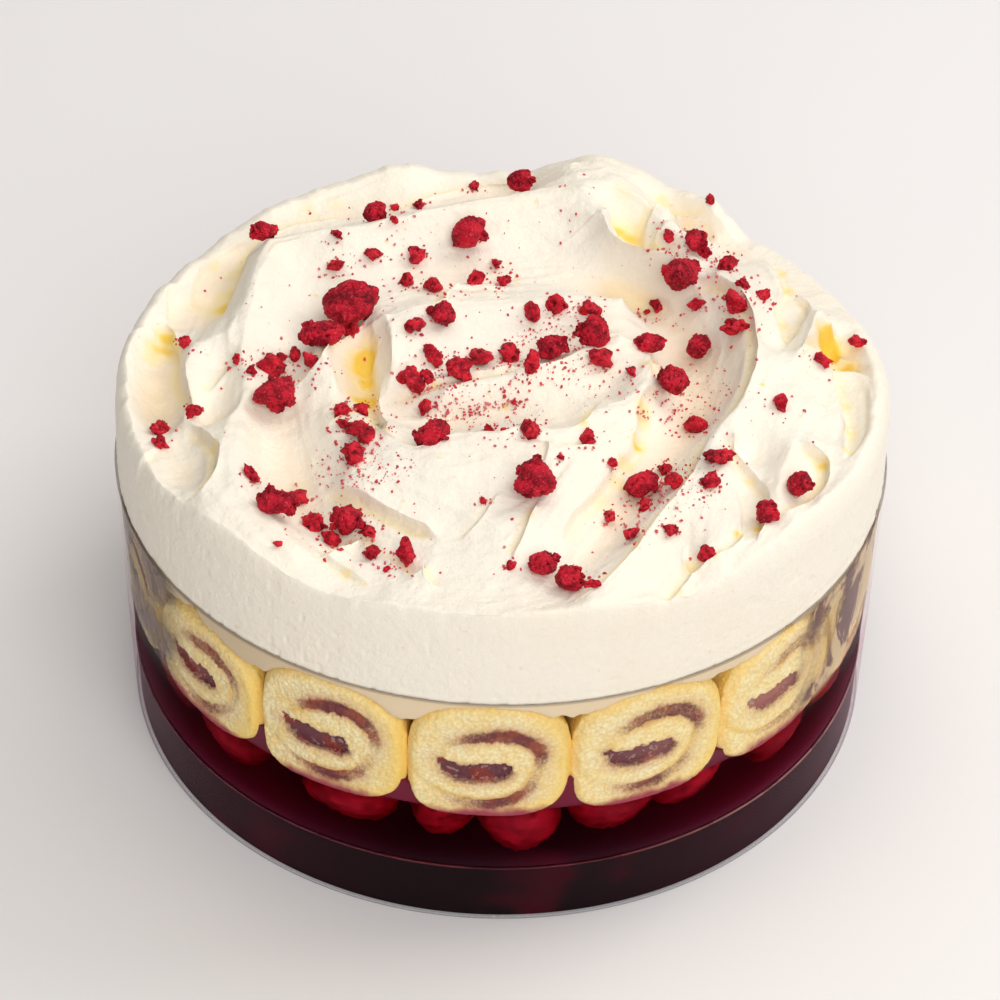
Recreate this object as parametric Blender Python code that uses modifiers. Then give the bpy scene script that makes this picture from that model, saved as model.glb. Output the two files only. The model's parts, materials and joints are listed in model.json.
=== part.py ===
"""A raspberry trifle in its clear round bowl.

From the bottom up: two layers of set jelly, a ring of Swiss roll slices that stand with their
spirals against the wall, custard poured over and inside the ring, and whipped cream that stands
above the rim, with pieces of freeze-dried raspberry on it. The origin is the middle of the
bowl's flat underside, +Z is up and the front of the trifle faces -Y.
"""

import math
import random

import bmesh
import bpy
import numpy as np
from mathutils import Matrix, Vector
from mathutils.bvhtree import BVHTree

MM = 0.001
GAP = 0.3 * MM

# The bowl: a thin moulded tub, a little wider at the rim than at the base.
RIM_RADIUS = 95 * MM
BASE_RADIUS = 93.5 * MM
BOWL_HEIGHT = 72.6 * MM
WALL = 1.2 * MM
BASE_THICKNESS = 1.5 * MM
BASE_EDGE = 0.4 * MM
ROUND_STEPS = 64

# The levels of the layers.
LOWER_JELLY_TOP = 17.0 * MM
UPPER_JELLY_TOP = 34.4 * MM
CUSTARD_DIP = 64.2 * MM

# The Swiss roll slices, counted from the front one towards +X.
SLICE_COUNT = 15
FRONT_SLICE_ANGLE = -0.9
SLICE_DEPTH = 13 * MM
SLICE_SIDE_GAP = 0.5 * MM
SLICE_BACK_GAP = 1.2 * MM
SLICE_ROOM_NEAR = -3 * MM
SLICE_ROOM_FAR = SLICE_DEPTH + 2 * GAP
SLICE_SQUARENESS = 2.7
SLICE_FLAP_SQUARENESS = 5.0
SLICE_OUTLINE_POINTS = 18
SLICE_HEIGHTS = tuple(
    height * MM
    for height in (35.7, 35.3, 35.0, 34.6, 34.2, 35.5, 34.0, 35.2, 34.8, 35.6, 33.9, 35.1, 34.4, 31.8, 35.4)
)

# The jam in a slice, from where it reaches the outside to its thick inner end. Each place is
# (across, up, half thickness), in half widths, half heights and millimetres. The lean, the lift
# and the wobble of a slice grow to their full size over the first few places.
JAM_LEAN = 0.05
JAM_LIFT = 0.05
JAM_WOBBLE = 0.02
JAM_STEADY_PLACES = 3
JAM_GAP = 0.4 * MM
JAM_PATH = (
    (-0.97, -0.20, 0.35),
    (-0.62, -0.52, 0.4),
    (-0.10, -0.66, 0.6),
    (0.36, -0.50, 0.5),
    (0.58, -0.10, 0.5),
    (0.55, 0.28, 0.9),
    (0.26, 0.53, 1.2),
    (-0.16, 0.50, 0.9),
    (-0.52, 0.28, 0.4),
    (-0.58, 0.06, 0.7),
    (-0.30, -0.09, 1.7),
    (0.14, -0.07, 1.6),
)

# The cream: it stands on the custard and the rim, straight-sided, and is swirled on top.
CREAM_FOOT_RADIUS = 94.5 * MM
CREAM_SHOULDER_RADIUS = 94.1 * MM
CREAM_LIP_DROP = 3 * MM
CREAM_SHOULDER_DROP = 8 * MM
CREAM_CELLS = 38

# The cream's upper edge all round, as (degrees from the front towards +X, radius, height).
CREAM_LIP = (
    (0, 92.5, 98.5),
    (12, 92.5, 99),
    (20, 92.5, 97.5),
    (27, 92.5, 95.5),
    (34, 92.5, 97),
    (42, 91.5, 99.5),
    (52, 91.5, 100),
    (64, 91.5, 98.5),
    (78, 90.5, 97.5),
    (90, 90, 97),
    (101, 89, 94),
    (113, 88.5, 90.5),
    (125, 88, 89.5),
    (136, 88, 88),
    (144, 87, 94),
    (151, 87, 93),
    (157, 86.5, 96.5),
    (163, 86, 99),
    (169, 86.5, 96),
    (176, 87, 90.5),
    (184, 87, 89.5),
    (191, 87, 91),
    (198, 86.5, 95.5),
    (205, 87, 93.5),
    (214, 87.5, 93),
    (224, 88, 93.5),
    (236, 88, 91.5),
    (250, 88.5, 92.5),
    (262, 90, 95),
    (274, 91, 95.5),
    (286, 91, 96),
    (298, 92, 96.5),
    (306, 92, 98),
    (313, 92, 101),
    (321, 92, 100.5),
    (329, 92.5, 97.5),
    (336, 92.5, 96),
    (348, 92.5, 98),
)

# The swirls of the cream: lines along its ridges and its hollows, in millimetres.
CREAM_RIDGES = {
    "back of the wide sweep": ((-60, 44, 99), (-49, 47, 100), (-37, 49, 100.5), (-25, 54, 100.5),
                               (-10, 61, 100), (2, 66, 99.5), (12, 69, 99.5), (20, 68, 100.5)),
    "left of the wide sweep": ((-60, 44, 99), (-62, 29, 101), (-64, 14, 100.5), (-64, 3, 99.5)),
    "below the left": ((-64, 3, 99.5), (-62, -10, 100), (-61, -20, 100), (-66, -30, 100), (-66, -43, 100.5),
                       (-69, -52, 99.5)),
    "left leaf": ((-76, 3, 97.5), (-77, -8, 98), (-75, -18, 97.5), (-72, -27, 96.5)),
    "tail of the sweep": ((21, 66, 100), (25, 57, 99.5), (27, 48, 99.5), (33, 42, 99), (41, 37, 97.5)),
    "back right bank": ((20, 68, 100.5), (28, 70, 100), (38, 66, 96.5), (50, 58, 96)),
    "back right curl": ((37, 51, 98), (41, 57, 98.5), (47, 53, 97.5), (50, 45, 96.5)),
    "right wall": ((53, 34, 98.5), (58, 26, 100), (60, 15, 101), (61, 4, 101.5), (60, -7, 101.5),
                   (57, -18, 101), (52, -30, 100.5), (46, -41, 99.5)),
    "right lobe": ((79, 20, 98.5), (76, 9, 99.5), (72, -2, 100.5), (68, -12, 100.5), (60, -24, 101)),
    "right bank": ((73, -18, 99.5), (70, -30, 99.5), (66, -40, 100.5), (64, -52, 100)),
    "front right fold": ((56, -30, 100), (52, -44, 100), (49, -58, 100), (46, -72, 98.5)),
    "right of the channel": ((46, -41, 99.5), (41, -51, 99.5), (37, -61, 99.5), (31, -73, 99), (25, -82, 98.5)),
    "left of the channel": ((27, -28, 98), (19, -44, 99.5), (12, -60, 99), (5, -76, 97.5)),
    "middle, back edge": ((-30, 13, 98.5), (-16, 18, 98), (0, 23, 97), (18, 28, 96), (30, 29, 94.5)),
    "middle, left edge": ((-29, 12, 98.5), (-28, 2, 98.5), (-27, -6, 97)),
    "left petal": ((-44, 9, 97.5), (-42, -1, 98.5), (-39, -12, 98.5), (-43, -22, 99)),
    "middle fold": ((-14, -12, 96.5), (0, -7, 97.5), (12, -4, 97.5), (21, 2, 97.5), (28, 10, 96.5)),
    "top of the mound": ((-43, -22, 99), (-40, -31, 100), (-33, -36, 99.5), (-27, -33, 101), (-20, -37, 100),
                         (-10, -33, 101), (4, -31, 101), (15, -31, 100), (21, -25, 99), (28, -18, 98.5),
                         (34, -14, 98.5), (37, -5, 98)),
    "left bank": ((-60, -32, 100.5), (-60, -46, 101), (-55, -60, 101), (-46, -73, 99.5)),
}
CREAM_HOLLOWS = {
    "behind the sweep": ((-58, 54, 91), (-42, 60, 91.5), (-28, 66, 91), (-12, 73, 90), (2, 78, 88.5)),
    "left groove": ((-64, 52, 91), (-70, 41, 89.5), (-71, 28, 89.5), (-73, 19, 91.5)),
    "outer left groove": ((-83, 15, 91), (-82, 0, 90.5), (-80, -13, 91), (-79, -22, 92.5)),
    "left leaf fold": ((-68, -3, 97), (-69, -13, 95), (-70, -22, 93.5)),
    "spoon mark": ((-76, -36, 95), (-73, -41, 95), (-72, -47, 96)),
    "wide sweep, left": ((-52, 36, 96.5), (-52, 22, 96), (-50, 8, 95), (-52, -4, 94)),
    "wide sweep, floor": ((-38, 34, 96), (-22, 38, 94), (-8, 38, 92.5), (10, 42, 92), (25, 42, 91), (38, 36, 90.5),
                          (46, 22, 89.5), (49, 6, 89.5), (46, -12, 90.5), (40, -28, 91.5), (32, -44, 92.5),
                          (25, -58, 93.5), (18, -72, 94.5), (14, -82, 96)),
    "wide sweep, slope": ((-28, 46, 97.5), (-8, 52, 96.5), (10, 57, 96), (20, 52, 95.5)),
    "behind the tail": ((30, 62, 92.5), (34, 54, 90.5), (38, 46, 92.5)),
    "back right hollow": ((41, 70, 91.5), (52, 50, 93)),
    "right groove": ((71, 42, 91), (71, 28, 93), (69, 16, 95), (67, 6, 97)),
    "right pit": ((81, 13, 90.5), (82, 4, 91)),
    "outer right groove": ((82, 1, 94.5), (84, -11, 95), (82, -26, 95.5)),
    "first right crease": ((76, -32, 97), (74, -43, 97), (71, -53, 98)),
    "second right crease": ((55, -34, 98), (58, -44, 97.5), (60, -54, 97.5)),
    "third right crease": ((42, -67, 97), (43, -76, 96), (38, -83, 95.5)),
    "crumb valley": ((-24, -6, 94.5), (-10, 0, 93), (2, 6, 92.5), (12, 11, 92.5), (22, 14, 93)),
    "below the middle fold": ((-28, -16, 92), (-14, -16, 92.5), (0, -14, 93.5), (13, -11, 95), (26, -8, 95.5)),
    "deep pit": ((-34, 12, 92.5), (-34, 4, 89.5), (-33, -4, 89.5), (-34, -10, 91)),
    "small dip": ((17, -20, 95), (22, -17, 96)),
    "left trough": ((-54, -20, 95), (-52, -34, 93.5), (-48, -47, 93), (-40, -59, 94), (-31, -70, 95), (-22, -78, 96)),
    "mound fold": ((-29, -56, 98), (-19, -60, 97.5), (-9, -64, 98)),
}
CREAM_MOUNDS = {
    "front mound": ((-30, -47, 100.5), (-12, -46, 102), (2, -47, 101.5), (10, -50, 100.5)),
    "front terrace": ((-14, -72, 97.5), (0, -74, 98)),
}
RIDGE_SOFTNESS = 2.2
HOLLOW_SOFTNESS = 3.0
MOUND_SOFTNESS = 9.0
LINE_STEP = 4.0
NEAREST_PLACES = 1.0
LIP_STEP_DEGREES = 4

# Large pieces of raspberry: (x, y, length, width, height, turn in degrees), in millimetres.
LARGE_PIECES = (
    (-38, 18, 15.5, 13, 8.5, 20),
    (-44, 5, 11.5, 7.5, 6, 10),
    (-9, 49, 10.5, 9.5, 8, 70),
    (4, 74, 7.5, 6.5, 5.5, 0),
    (-61, 46, 8, 5, 4.5, 30),
    (-33, 55, 7, 5.5, 4.5, 50),
    (-15, 14, 8, 6, 5, 120),
    (22, 9, 9.5, 8, 7.5, 110),
    (12, 5, 9, 6.5, 5.5, 20),
    (36, 9, 8, 5.5, 4, 0),
    (44, 33, 11, 9, 7, 60),
    (48, 13, 8, 5.5, 4.5, 75),
    (48, 47, 6.5, 5.5, 5, 60),
    (41, -9, 9.5, 7, 5, 115),
    (33, -44, 8.5, 7, 6, 30),
    (69, -49, 7, 6, 5, 80),
    (61, -59, 6.5, 5.5, 5, 100),
    (8, -53, 12, 10, 8, 80),
    (10, -76, 7.5, 6, 5, 10),
    (16, -80, 7.5, 6.5, 5.5, 120),
    (-54, -19, 12, 8, 6, 30),
    (-51, -60, 10.5, 6.5, 5, 165),
    (-35, -61, 8.5, 7.5, 5.5, 60),
    (-16, -36, 10, 7, 5.5, 50),
)
PIECE_SIDES = 7
PIECE_RINGS = 5
PIECE_ROUGHNESS = 0.16
PIECE_TILT = 0.25
PIECE_LIFT = 1.5 * GAP
REST_STEPS = 16

# Small crumbs of raspberry lie in patches: (x, y, reach, how many), in millimetres.
CRUMB_PATCHES = (
    (8, 14, 12, 6),
    (-2, 0, 12, 5),
    (-18, -10, 9, 3),
    (-20, 30, 11, 4),
    (0, 30, 6, 2),
    (52, 26, 12, 5),
    (45, 44, 7, 2),
    (40, -22, 12, 3),
    (38, -50, 12, 4),
    (-33, -32, 9, 4),
    (-50, -4, 8, 3),
    (-32, -72, 12, 4),
    (-5, -28, 12, 2),
    (-78, -35, 5, 2),
    (0, 0, 82, 3),
)
CRUMB_LENGTHS = (2.0 * MM, 4.6 * MM)
CRUMB_SIDES = 5
CRUMB_RINGS = 3
CRUMB_WIDTH = 0.75
CRUMB_HEIGHT = 0.62
CRUMB_RISE = 0.16
CRUMB_MARGIN = 0.8 * MM
CRUMB_REACH = 86 * MM
CRUMB_TRIES = 60
PIECE_REACH = 0.62


def clear_scene():
    for thing in list(bpy.data.objects):
        bpy.data.objects.remove(thing, do_unlink=True)


def new_collection(name):
    collection = bpy.data.collections.new(name)
    bpy.context.scene.collection.children.link(collection)
    return collection


def material(name, colour, roughness, transmission=0.0):
    finish = bpy.data.materials.new(name)
    finish.use_nodes = True
    shader = finish.node_tree.nodes["Principled BSDF"]
    shader.inputs["Base Color"].default_value = (*colour, 1.0)
    shader.inputs["Roughness"].default_value = roughness
    shader.inputs["Metallic"].default_value = 0.0
    shader.inputs["Transmission Weight"].default_value = transmission
    finish.diffuse_color = (*colour, 1.0)
    return finish


def mesh_object(name, bm, collection, finish, smooth=True):
    """An object from a bmesh, which is freed."""
    bmesh.ops.recalc_face_normals(bm, faces=bm.faces)
    if bm.calc_volume(signed=True) < 0:
        bmesh.ops.reverse_faces(bm, faces=bm.faces)
    mesh = bpy.data.meshes.new(name)
    bm.to_mesh(mesh)
    bm.free()
    if smooth:
        mesh.shade_smooth()
        mesh.set_sharp_from_angle(angle=math.radians(40))
    if finish is not None:
        mesh.materials.append(finish)
    thing = bpy.data.objects.new(name, mesh)
    collection.objects.link(thing)
    return thing


def turned(name, profile, collection, finish):
    """A round solid: a profile that starts and ends on the axis, spun by a Screw modifier."""
    bm = bmesh.new()
    corners = [bm.verts.new((radius, 0, height)) for radius, height in profile]
    for first, second in zip(corners, corners[1:]):
        bm.edges.new((first, second))
    mesh = bpy.data.meshes.new(name)
    bm.to_mesh(mesh)
    bm.free()
    mesh.materials.append(finish)
    thing = bpy.data.objects.new(name, mesh)
    collection.objects.link(thing)
    spin = thing.modifiers.new("spin", "SCREW")
    spin.steps = ROUND_STEPS
    spin.render_steps = ROUND_STEPS
    spin.use_merge_vertices = True
    spin.merge_threshold = 0.00001
    return thing


def evaluated_mesh(thing):
    graph = bpy.context.evaluated_depsgraph_get()
    return bpy.data.meshes.new_from_object(thing.evaluated_get(graph))


def outer_radius(height):
    return BASE_RADIUS + (RIM_RADIUS - BASE_RADIUS) * height / BOWL_HEIGHT


def filling_radius(height):
    """How far out the filling reaches at a height, just clear of the wall."""
    return outer_radius(height) - WALL - GAP


def make_bowl(collection, finish):
    floor = BASE_THICKNESS
    profile = (
        (0, floor),
        (outer_radius(floor) - WALL, floor),
        (RIM_RADIUS - WALL, BOWL_HEIGHT),
        (RIM_RADIUS, BOWL_HEIGHT),
        (outer_radius(BASE_EDGE), BASE_EDGE),
        (BASE_RADIUS - BASE_EDGE, 0),
        (0, 0),
    )
    return turned("bowl", profile, collection, finish)


def make_layer(name, bottom, top, collection, finish):
    profile = ((0, top), (filling_radius(top), top), (filling_radius(bottom), bottom), (0, bottom))
    return turned(name, profile, collection, finish)


def slice_half_width():
    face = filling_radius(UPPER_JELLY_TOP)
    return face * math.pi / SLICE_COUNT - SLICE_SIDE_GAP / 2


def slice_outline(half_width, half_height, grow=0.0):
    """A squashed round whose lower left quarter is squarer, where the sponge's outer end lies.

    The points run anticlockwise from just below where the jam comes out.
    """
    outline = []
    for step in range(SLICE_OUTLINE_POINTS):
        turn = math.pi + math.tau * (step + 0.5) / SLICE_OUTLINE_POINTS
        across, up = math.cos(turn), math.sin(turn)
        in_flap = across < 0 and up < 0
        power = 2 / (SLICE_FLAP_SQUARENESS if in_flap else SLICE_SQUARENESS)
        outline.append(
            Vector(
                (
                    math.copysign(abs(across) ** power, across) * (half_width + grow),
                    math.copysign(abs(up) ** power, up) * (half_height + grow),
                )
            )
        )
    return outline


def jam_places(half_width, half_height, wobble):
    """The jam's middle line and half thicknesses in one slice, each slice a little unlike."""
    lean = wobble.uniform(-JAM_LEAN, JAM_LEAN)
    lift = wobble.uniform(-JAM_LIFT, JAM_LIFT)
    places = []
    for index, (across, up, half) in enumerate(JAM_PATH):
        fade = min(index / JAM_STEADY_PLACES, 1.0)
        across += fade * (lean * up + wobble.uniform(-JAM_WOBBLE, JAM_WOBBLE))
        up += fade * (lift + wobble.uniform(-JAM_WOBBLE, JAM_WOBBLE))
        places.append((Vector((across * half_width, up * half_height)), half * MM))
    return places


def beside(places, extra):
    """The two sides of the jam, as point lists, each the half thickness and extra away from its middle.

    The inner end is moved on by the extra too, so that jam and sponge are as far apart there.
    """
    left, right = [], []
    last = len(places) - 1
    for index, (point, half) in enumerate(places):
        before = places[max(index - 1, 0)][0]
        after = places[min(index + 1, last)][0]
        along = (after - before).normalized()
        normal = Vector((-along.y, along.x))
        if index == last:
            point = point + along * extra
        left.append(point + normal * (half + extra))
        right.append(point - normal * (half + extra))
    return left, right


def bent_prism(name, outline, middle, angle, near, far, collection, finish):
    """A flat outline given a depth and bent round the bowl. middle is the height of the outline's centre."""
    bm = bmesh.new()
    face = bm.faces.new([bm.verts.new((point.x, point.y, near)) for point in outline])
    face.normal_update()
    bmesh.ops.triangulate(bm, faces=[face])
    grown = bmesh.ops.extrude_face_region(bm, geom=bm.faces[:])
    for corner in grown["geom"]:
        if isinstance(corner, bmesh.types.BMVert):
            corner.co.z = far
    for corner in bm.verts:
        across, up, depth = corner.co
        height = middle + up
        turn = math.radians(angle) + across / filling_radius(UPPER_JELLY_TOP)
        radius = filling_radius(height) - depth
        corner.co = (radius * math.sin(turn), -radius * math.cos(turn), height)
    return mesh_object(name, bm, collection, finish, smooth=False)


def make_slices(collection, sponge, jam):
    """The ring of slices, each a spiral of sponge with its jam between the turns."""
    wobble = random.Random(7)
    half_width = slice_half_width()
    for index, height in enumerate(SLICE_HEIGHTS):
        angle = FRONT_SLICE_ANGLE + index * 360 / SLICE_COUNT
        half_height = height / 2
        middle = UPPER_JELLY_TOP + GAP + half_height
        places = jam_places(half_width, half_height, wobble)
        left, right = beside(places, JAM_GAP)
        spiral = slice_outline(half_width, half_height) + left + right[::-1]
        bent_prism(f"swiss_roll_{index + 1:02d}", spiral, middle, angle, 0, SLICE_DEPTH, collection, sponge)
        left, right = beside(places, 0)
        bent_prism(f"roll_jam_{index + 1:02d}", left + right[::-1], middle, angle, 0, SLICE_DEPTH, collection, jam)


def make_custard(collection, cutters, finish):
    """Custard inside the ring of slices, over them, and down between their round tops."""
    inside = filling_radius(UPPER_JELLY_TOP) - SLICE_DEPTH - SLICE_BACK_GAP
    bottom = UPPER_JELLY_TOP + GAP
    profile = (
        (0, BOWL_HEIGHT),
        (filling_radius(BOWL_HEIGHT), BOWL_HEIGHT),
        (filling_radius(CUSTARD_DIP), CUSTARD_DIP),
        (inside, CUSTARD_DIP),
        (inside, bottom),
        (0, bottom),
    )
    custard = turned("custard", profile, collection, finish)
    custard.data = evaluated_mesh(custard)
    custard.modifiers.clear()
    half_width = slice_half_width()
    for index, height in enumerate(SLICE_HEIGHTS):
        angle = FRONT_SLICE_ANGLE + index * 360 / SLICE_COUNT
        half_height = height / 2
        outline = slice_outline(half_width, half_height, grow=GAP)
        outline = [point for point in outline if point.y > -0.1 * half_height]
        middle = UPPER_JELLY_TOP + GAP + half_height
        cutter = bent_prism(
            f"slice_room_{index + 1:02d}", outline, middle, angle, SLICE_ROOM_NEAR, SLICE_ROOM_FAR, cutters, None
        )
        cutter.hide_render = True
        cutter.display_type = "WIRE"
    cut = custard.modifiers.new("room for the slices", "BOOLEAN")
    cut.operation = "DIFFERENCE"
    cut.operand_type = "COLLECTION"
    cut.collection = cutters
    return custard


def smooth_line(points, spacing):
    """Places along a smooth curve through the points, about spacing apart."""
    points = [np.array(point, float) for point in points]
    if len(points) == 1:
        return points
    padded = [2 * points[0] - points[1], *points, 2 * points[-1] - points[-2]]
    places = []
    for a, b, c, d in zip(padded, padded[1:], padded[2:], padded[3:]):
        steps = max(int(round(np.linalg.norm(c - b) / spacing)), 1)
        for step in range(steps):
            t = step / steps
            places.append(
                0.5 * (2 * b + (c - a) * t + (2 * a - 5 * b + 4 * c - d) * t**2 + (3 * b - a - 3 * c + d) * t**3)
            )
    places.append(points[-1])
    return places


def lip_at(turn):
    """The cream's lip at a turn in degrees: its radius and height, in millimetres."""
    turns = [row[0] for row in CREAM_LIP] + [360]
    radii = [row[1] for row in CREAM_LIP] + [CREAM_LIP[0][1]]
    heights = [row[2] for row in CREAM_LIP] + [CREAM_LIP[0][2]]
    turn = turn % 360
    return np.interp(turn, turns, radii), np.interp(turn, turns, heights)


def cream_surface():
    """A function that gives the cream's height over any place, in millimetres.

    The surface runs through every line: it is sharp along the ridges and soft in the hollows.
    """
    places, softness = [], []
    for lines, soft in (
        (CREAM_RIDGES, RIDGE_SOFTNESS),
        (CREAM_HOLLOWS, HOLLOW_SOFTNESS),
        (CREAM_MOUNDS, MOUND_SOFTNESS),
    ):
        for line in lines.values():
            for place in smooth_line(line, LINE_STEP):
                if all(math.dist(place[:2], other[:2]) > NEAREST_PLACES for other in places):
                    places.append(place)
                    softness.append(soft)
    for turn in range(0, 360, LIP_STEP_DEGREES):
        radius, height = lip_at(turn)
        radians = math.radians(turn)
        places.append(np.array((radius * math.sin(radians), -radius * math.cos(radians), height)))
        softness.append(HOLLOW_SOFTNESS)
    places = np.array(places)
    softness = np.array(softness)
    level = places[:, 2].mean()

    def spread(x, y):
        away = (x[:, None] - places[None, :, 0]) ** 2 + (y[:, None] - places[None, :, 1]) ** 2
        return np.sqrt(away + softness[None, :] ** 2)

    weights = np.linalg.solve(spread(places[:, 0], places[:, 1]), places[:, 2] - level)
    return lambda x, y: level + spread(np.atleast_1d(x), np.atleast_1d(y)) @ weights


def disc_place(across, up):
    """A place in the square from -1 to 1 moved to the unit disc, keeping areas."""
    if across == 0 and up == 0:
        return 0.0, 0.0
    if abs(across) > abs(up):
        return across, math.pi / 4 * up / across
    return up, math.pi / 2 - math.pi / 4 * across / up


def cream_core():
    """The cream without its crumbs, as a bmesh: the swirled top, the straight side and a flat underside."""
    height_at = cream_surface()
    bm = bmesh.new()
    bmesh.ops.create_grid(bm, x_segments=CREAM_CELLS, y_segments=CREAM_CELLS, size=1.0)
    rim = [edge for edge in bm.edges if edge.is_boundary]
    for corner in bm.verts:
        part, turn = disc_place(corner.co.x, corner.co.y)
        x, y = part * math.cos(turn), part * math.sin(turn)
        radius, _ = lip_at(math.degrees(math.atan2(x, -y)))
        corner.co = (x * radius, y * radius, 0)
    x = np.array([corner.co.x for corner in bm.verts])
    y = np.array([corner.co.y for corner in bm.verts])
    for corner, height in zip(bm.verts, height_at(x, y)):
        corner.co = Vector((corner.co.x, corner.co.y, height)) * MM
    bmesh.ops.triangulate(bm, faces=bm.faces[:], quad_method="SHORT_EDGE")
    foot = BOWL_HEIGHT + GAP
    rings = ((CREAM_LIP_DROP, None), (CREAM_SHOULDER_DROP, CREAM_SHOULDER_RADIUS), (None, CREAM_FOOT_RADIUS))
    for drop, radius in rings:
        made = bmesh.ops.extrude_edge_only(bm, edges=rim)["geom"]
        rim = [part for part in made if isinstance(part, bmesh.types.BMEdge)]
        for corner in (part for part in made if isinstance(part, bmesh.types.BMVert)):
            flat = Vector((corner.co.x, corner.co.y, 0))
            reach = (flat.length + 2 * CREAM_SHOULDER_RADIUS) / 3 if radius is None else radius
            height = foot if drop is None else corner.co.z - drop
            corner.co = flat.normalized() * reach + Vector((0, 0, height))
    bmesh.ops.holes_fill(bm, edges=rim)
    bmesh.ops.triangulate(bm, faces=bm.faces[:])
    bmesh.ops.recalc_face_normals(bm, faces=bm.faces)
    return bm


def rough_piece(length, width, height, turn, wobble, sides, rings):
    """A torn piece of raspberry about the origin, as a bmesh."""
    bm = bmesh.new()
    bmesh.ops.create_uvsphere(bm, u_segments=sides, v_segments=rings, radius=0.5)
    for corner in bm.verts:
        corner.co *= 1 + wobble.uniform(-PIECE_ROUGHNESS, PIECE_ROUGHNESS)
    tilt = Matrix.Rotation(wobble.uniform(-PIECE_TILT, PIECE_TILT), 4, "Y")
    size = Matrix.Diagonal((length, width, height, 1))
    bm.transform(Matrix.Rotation(math.radians(turn), 4, "Z") @ tilt @ size)
    bmesh.ops.triangulate(bm, faces=bm.faces[:])
    return bm


def resting_lift(piece, ground, x, y, reach):
    """How high a piece moved to (x, y) must be lifted to lie on the ground just clear of it."""
    under = BVHTree.FromBMesh(piece)
    lift = -1.0
    for row in range(REST_STEPS + 1):
        for column in range(REST_STEPS + 1):
            dx = reach * (2 * column / REST_STEPS - 1)
            dy = reach * (2 * row / REST_STEPS - 1)
            below = under.ray_cast(Vector((dx, dy, -1)), Vector((0, 0, 1)))[0]
            top = ground.ray_cast(Vector((x + dx, y + dy, 1)), Vector((0, 0, -1)))[0]
            if below is not None and top is not None:
                lift = max(lift, top.z - below.z)
    return lift + PIECE_LIFT


def make_large_pieces(ground, collection, finish):
    wobble = random.Random(3)
    for index, (x, y, length, width, height, turn) in enumerate(LARGE_PIECES):
        piece = rough_piece(length * MM, width * MM, height * MM, turn, wobble, PIECE_SIDES, PIECE_RINGS)
        lift = resting_lift(piece, ground, x * MM, y * MM, 0.6 * length * MM)
        piece.transform(Matrix.Translation((x * MM, y * MM, lift)))
        mesh_object(f"raspberry_piece_{index + 1:02d}", piece, collection, finish, smooth=False)


def crumb_places():
    """Places and lengths of the small crumbs, largest first, clear of the large pieces."""
    wobble = random.Random(11)
    patches = [row for row in CRUMB_PATCHES for _ in range(row[3])]
    lengths = sorted((wobble.uniform(*CRUMB_LENGTHS) for _ in patches), reverse=True)
    wobble.shuffle(patches)
    placed = []
    for length, (x, y, reach, _) in zip(lengths, patches):
        for _ in range(CRUMB_TRIES):
            turn = wobble.uniform(0, math.tau)
            away = reach * math.sqrt(wobble.random())
            place = Vector(((x + away * math.cos(turn)) * MM, (y + away * math.sin(turn)) * MM))
            clear_of_pieces = all(
                (place - Vector(row[:2]) * MM).length > PIECE_REACH * row[2] * MM + length / 2 + CRUMB_MARGIN
                for row in LARGE_PIECES
            )
            apart = all((place - other).length > (length + size) / 2 + CRUMB_MARGIN for other, size in placed)
            if clear_of_pieces and apart and place.length < CRUMB_REACH:
                placed.append((place, length))
                break
    return placed


def make_cream(core, ground, collection, cutters, finish):
    """The cream with its small crumbs fused on, each sunk a third of its height."""
    cream = mesh_object("cream", core, collection, finish)
    wobble = random.Random(5)
    crumbs = []
    for place, length in crumb_places():
        height = CRUMB_HEIGHT * length
        turn = wobble.uniform(0, 360)
        crumb = rough_piece(length, CRUMB_WIDTH * length, height, turn, wobble, CRUMB_SIDES, CRUMB_RINGS)
        top = ground.ray_cast(Vector((*place, 1)), Vector((0, 0, -1)))[0].z
        crumb.transform(Matrix.Translation((*place, top + CRUMB_RISE * height)))
        crumbs.append(mesh_object("crumb", crumb, cutters, None))
    fuse = cream.modifiers.new("crumbs", "BOOLEAN")
    fuse.operation = "UNION"
    fuse.operand_type = "COLLECTION"
    fuse.collection = cutters
    cream.data = evaluated_mesh(cream)
    cream.modifiers.clear()
    for crumb in crumbs:
        bpy.data.objects.remove(crumb, do_unlink=True)
    return cream


def main():
    clear_scene()
    parts = new_collection("trifle")
    slice_rooms = new_collection("slice rooms")
    crumb_helpers = new_collection("crumbs")
    clear_plastic = material("clear plastic", (0.9, 0.92, 0.92), 0.05, transmission=1.0)
    dark_jelly = material("dark jelly", (0.05, 0.004, 0.01), 0.1)
    red_jelly = material("red jelly", (0.12, 0.006, 0.015), 0.1)
    sponge = material("sponge", (0.85, 0.65, 0.3), 0.9)
    jam = material("jam", (0.16, 0.03, 0.05), 0.3)
    custard = material("custard", (0.8, 0.66, 0.42), 0.4)
    whipped_cream = material("whipped cream", (0.93, 0.9, 0.8), 0.5)
    raspberry = material("dried raspberry", (0.3, 0.005, 0.02), 0.7)
    make_bowl(parts, clear_plastic)
    make_layer("jelly_lower", BASE_THICKNESS + GAP, LOWER_JELLY_TOP - GAP / 2, parts, dark_jelly)
    make_layer("jelly_upper", LOWER_JELLY_TOP + GAP / 2, UPPER_JELLY_TOP, parts, red_jelly)
    make_slices(parts, sponge, jam)
    make_custard(parts, slice_rooms, custard)
    core = cream_core()
    ground = BVHTree.FromBMesh(core)
    make_cream(core, ground, parts, crumb_helpers, whipped_cream)
    make_large_pieces(ground, parts, raspberry)


main()
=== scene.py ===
"""The looks of the raspberry trifle: its clear tub, the jelly with raspberries in it, the Swiss roll
slices, the custard, the swirled cream and the dried raspberry on it.

Lengths in the tables are millimetres, and angles are degrees from the front towards +X.
"""

import json
import math
import random

import bmesh
import bpy
import numpy as np
from mathutils import Euler, Matrix, Vector

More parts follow.
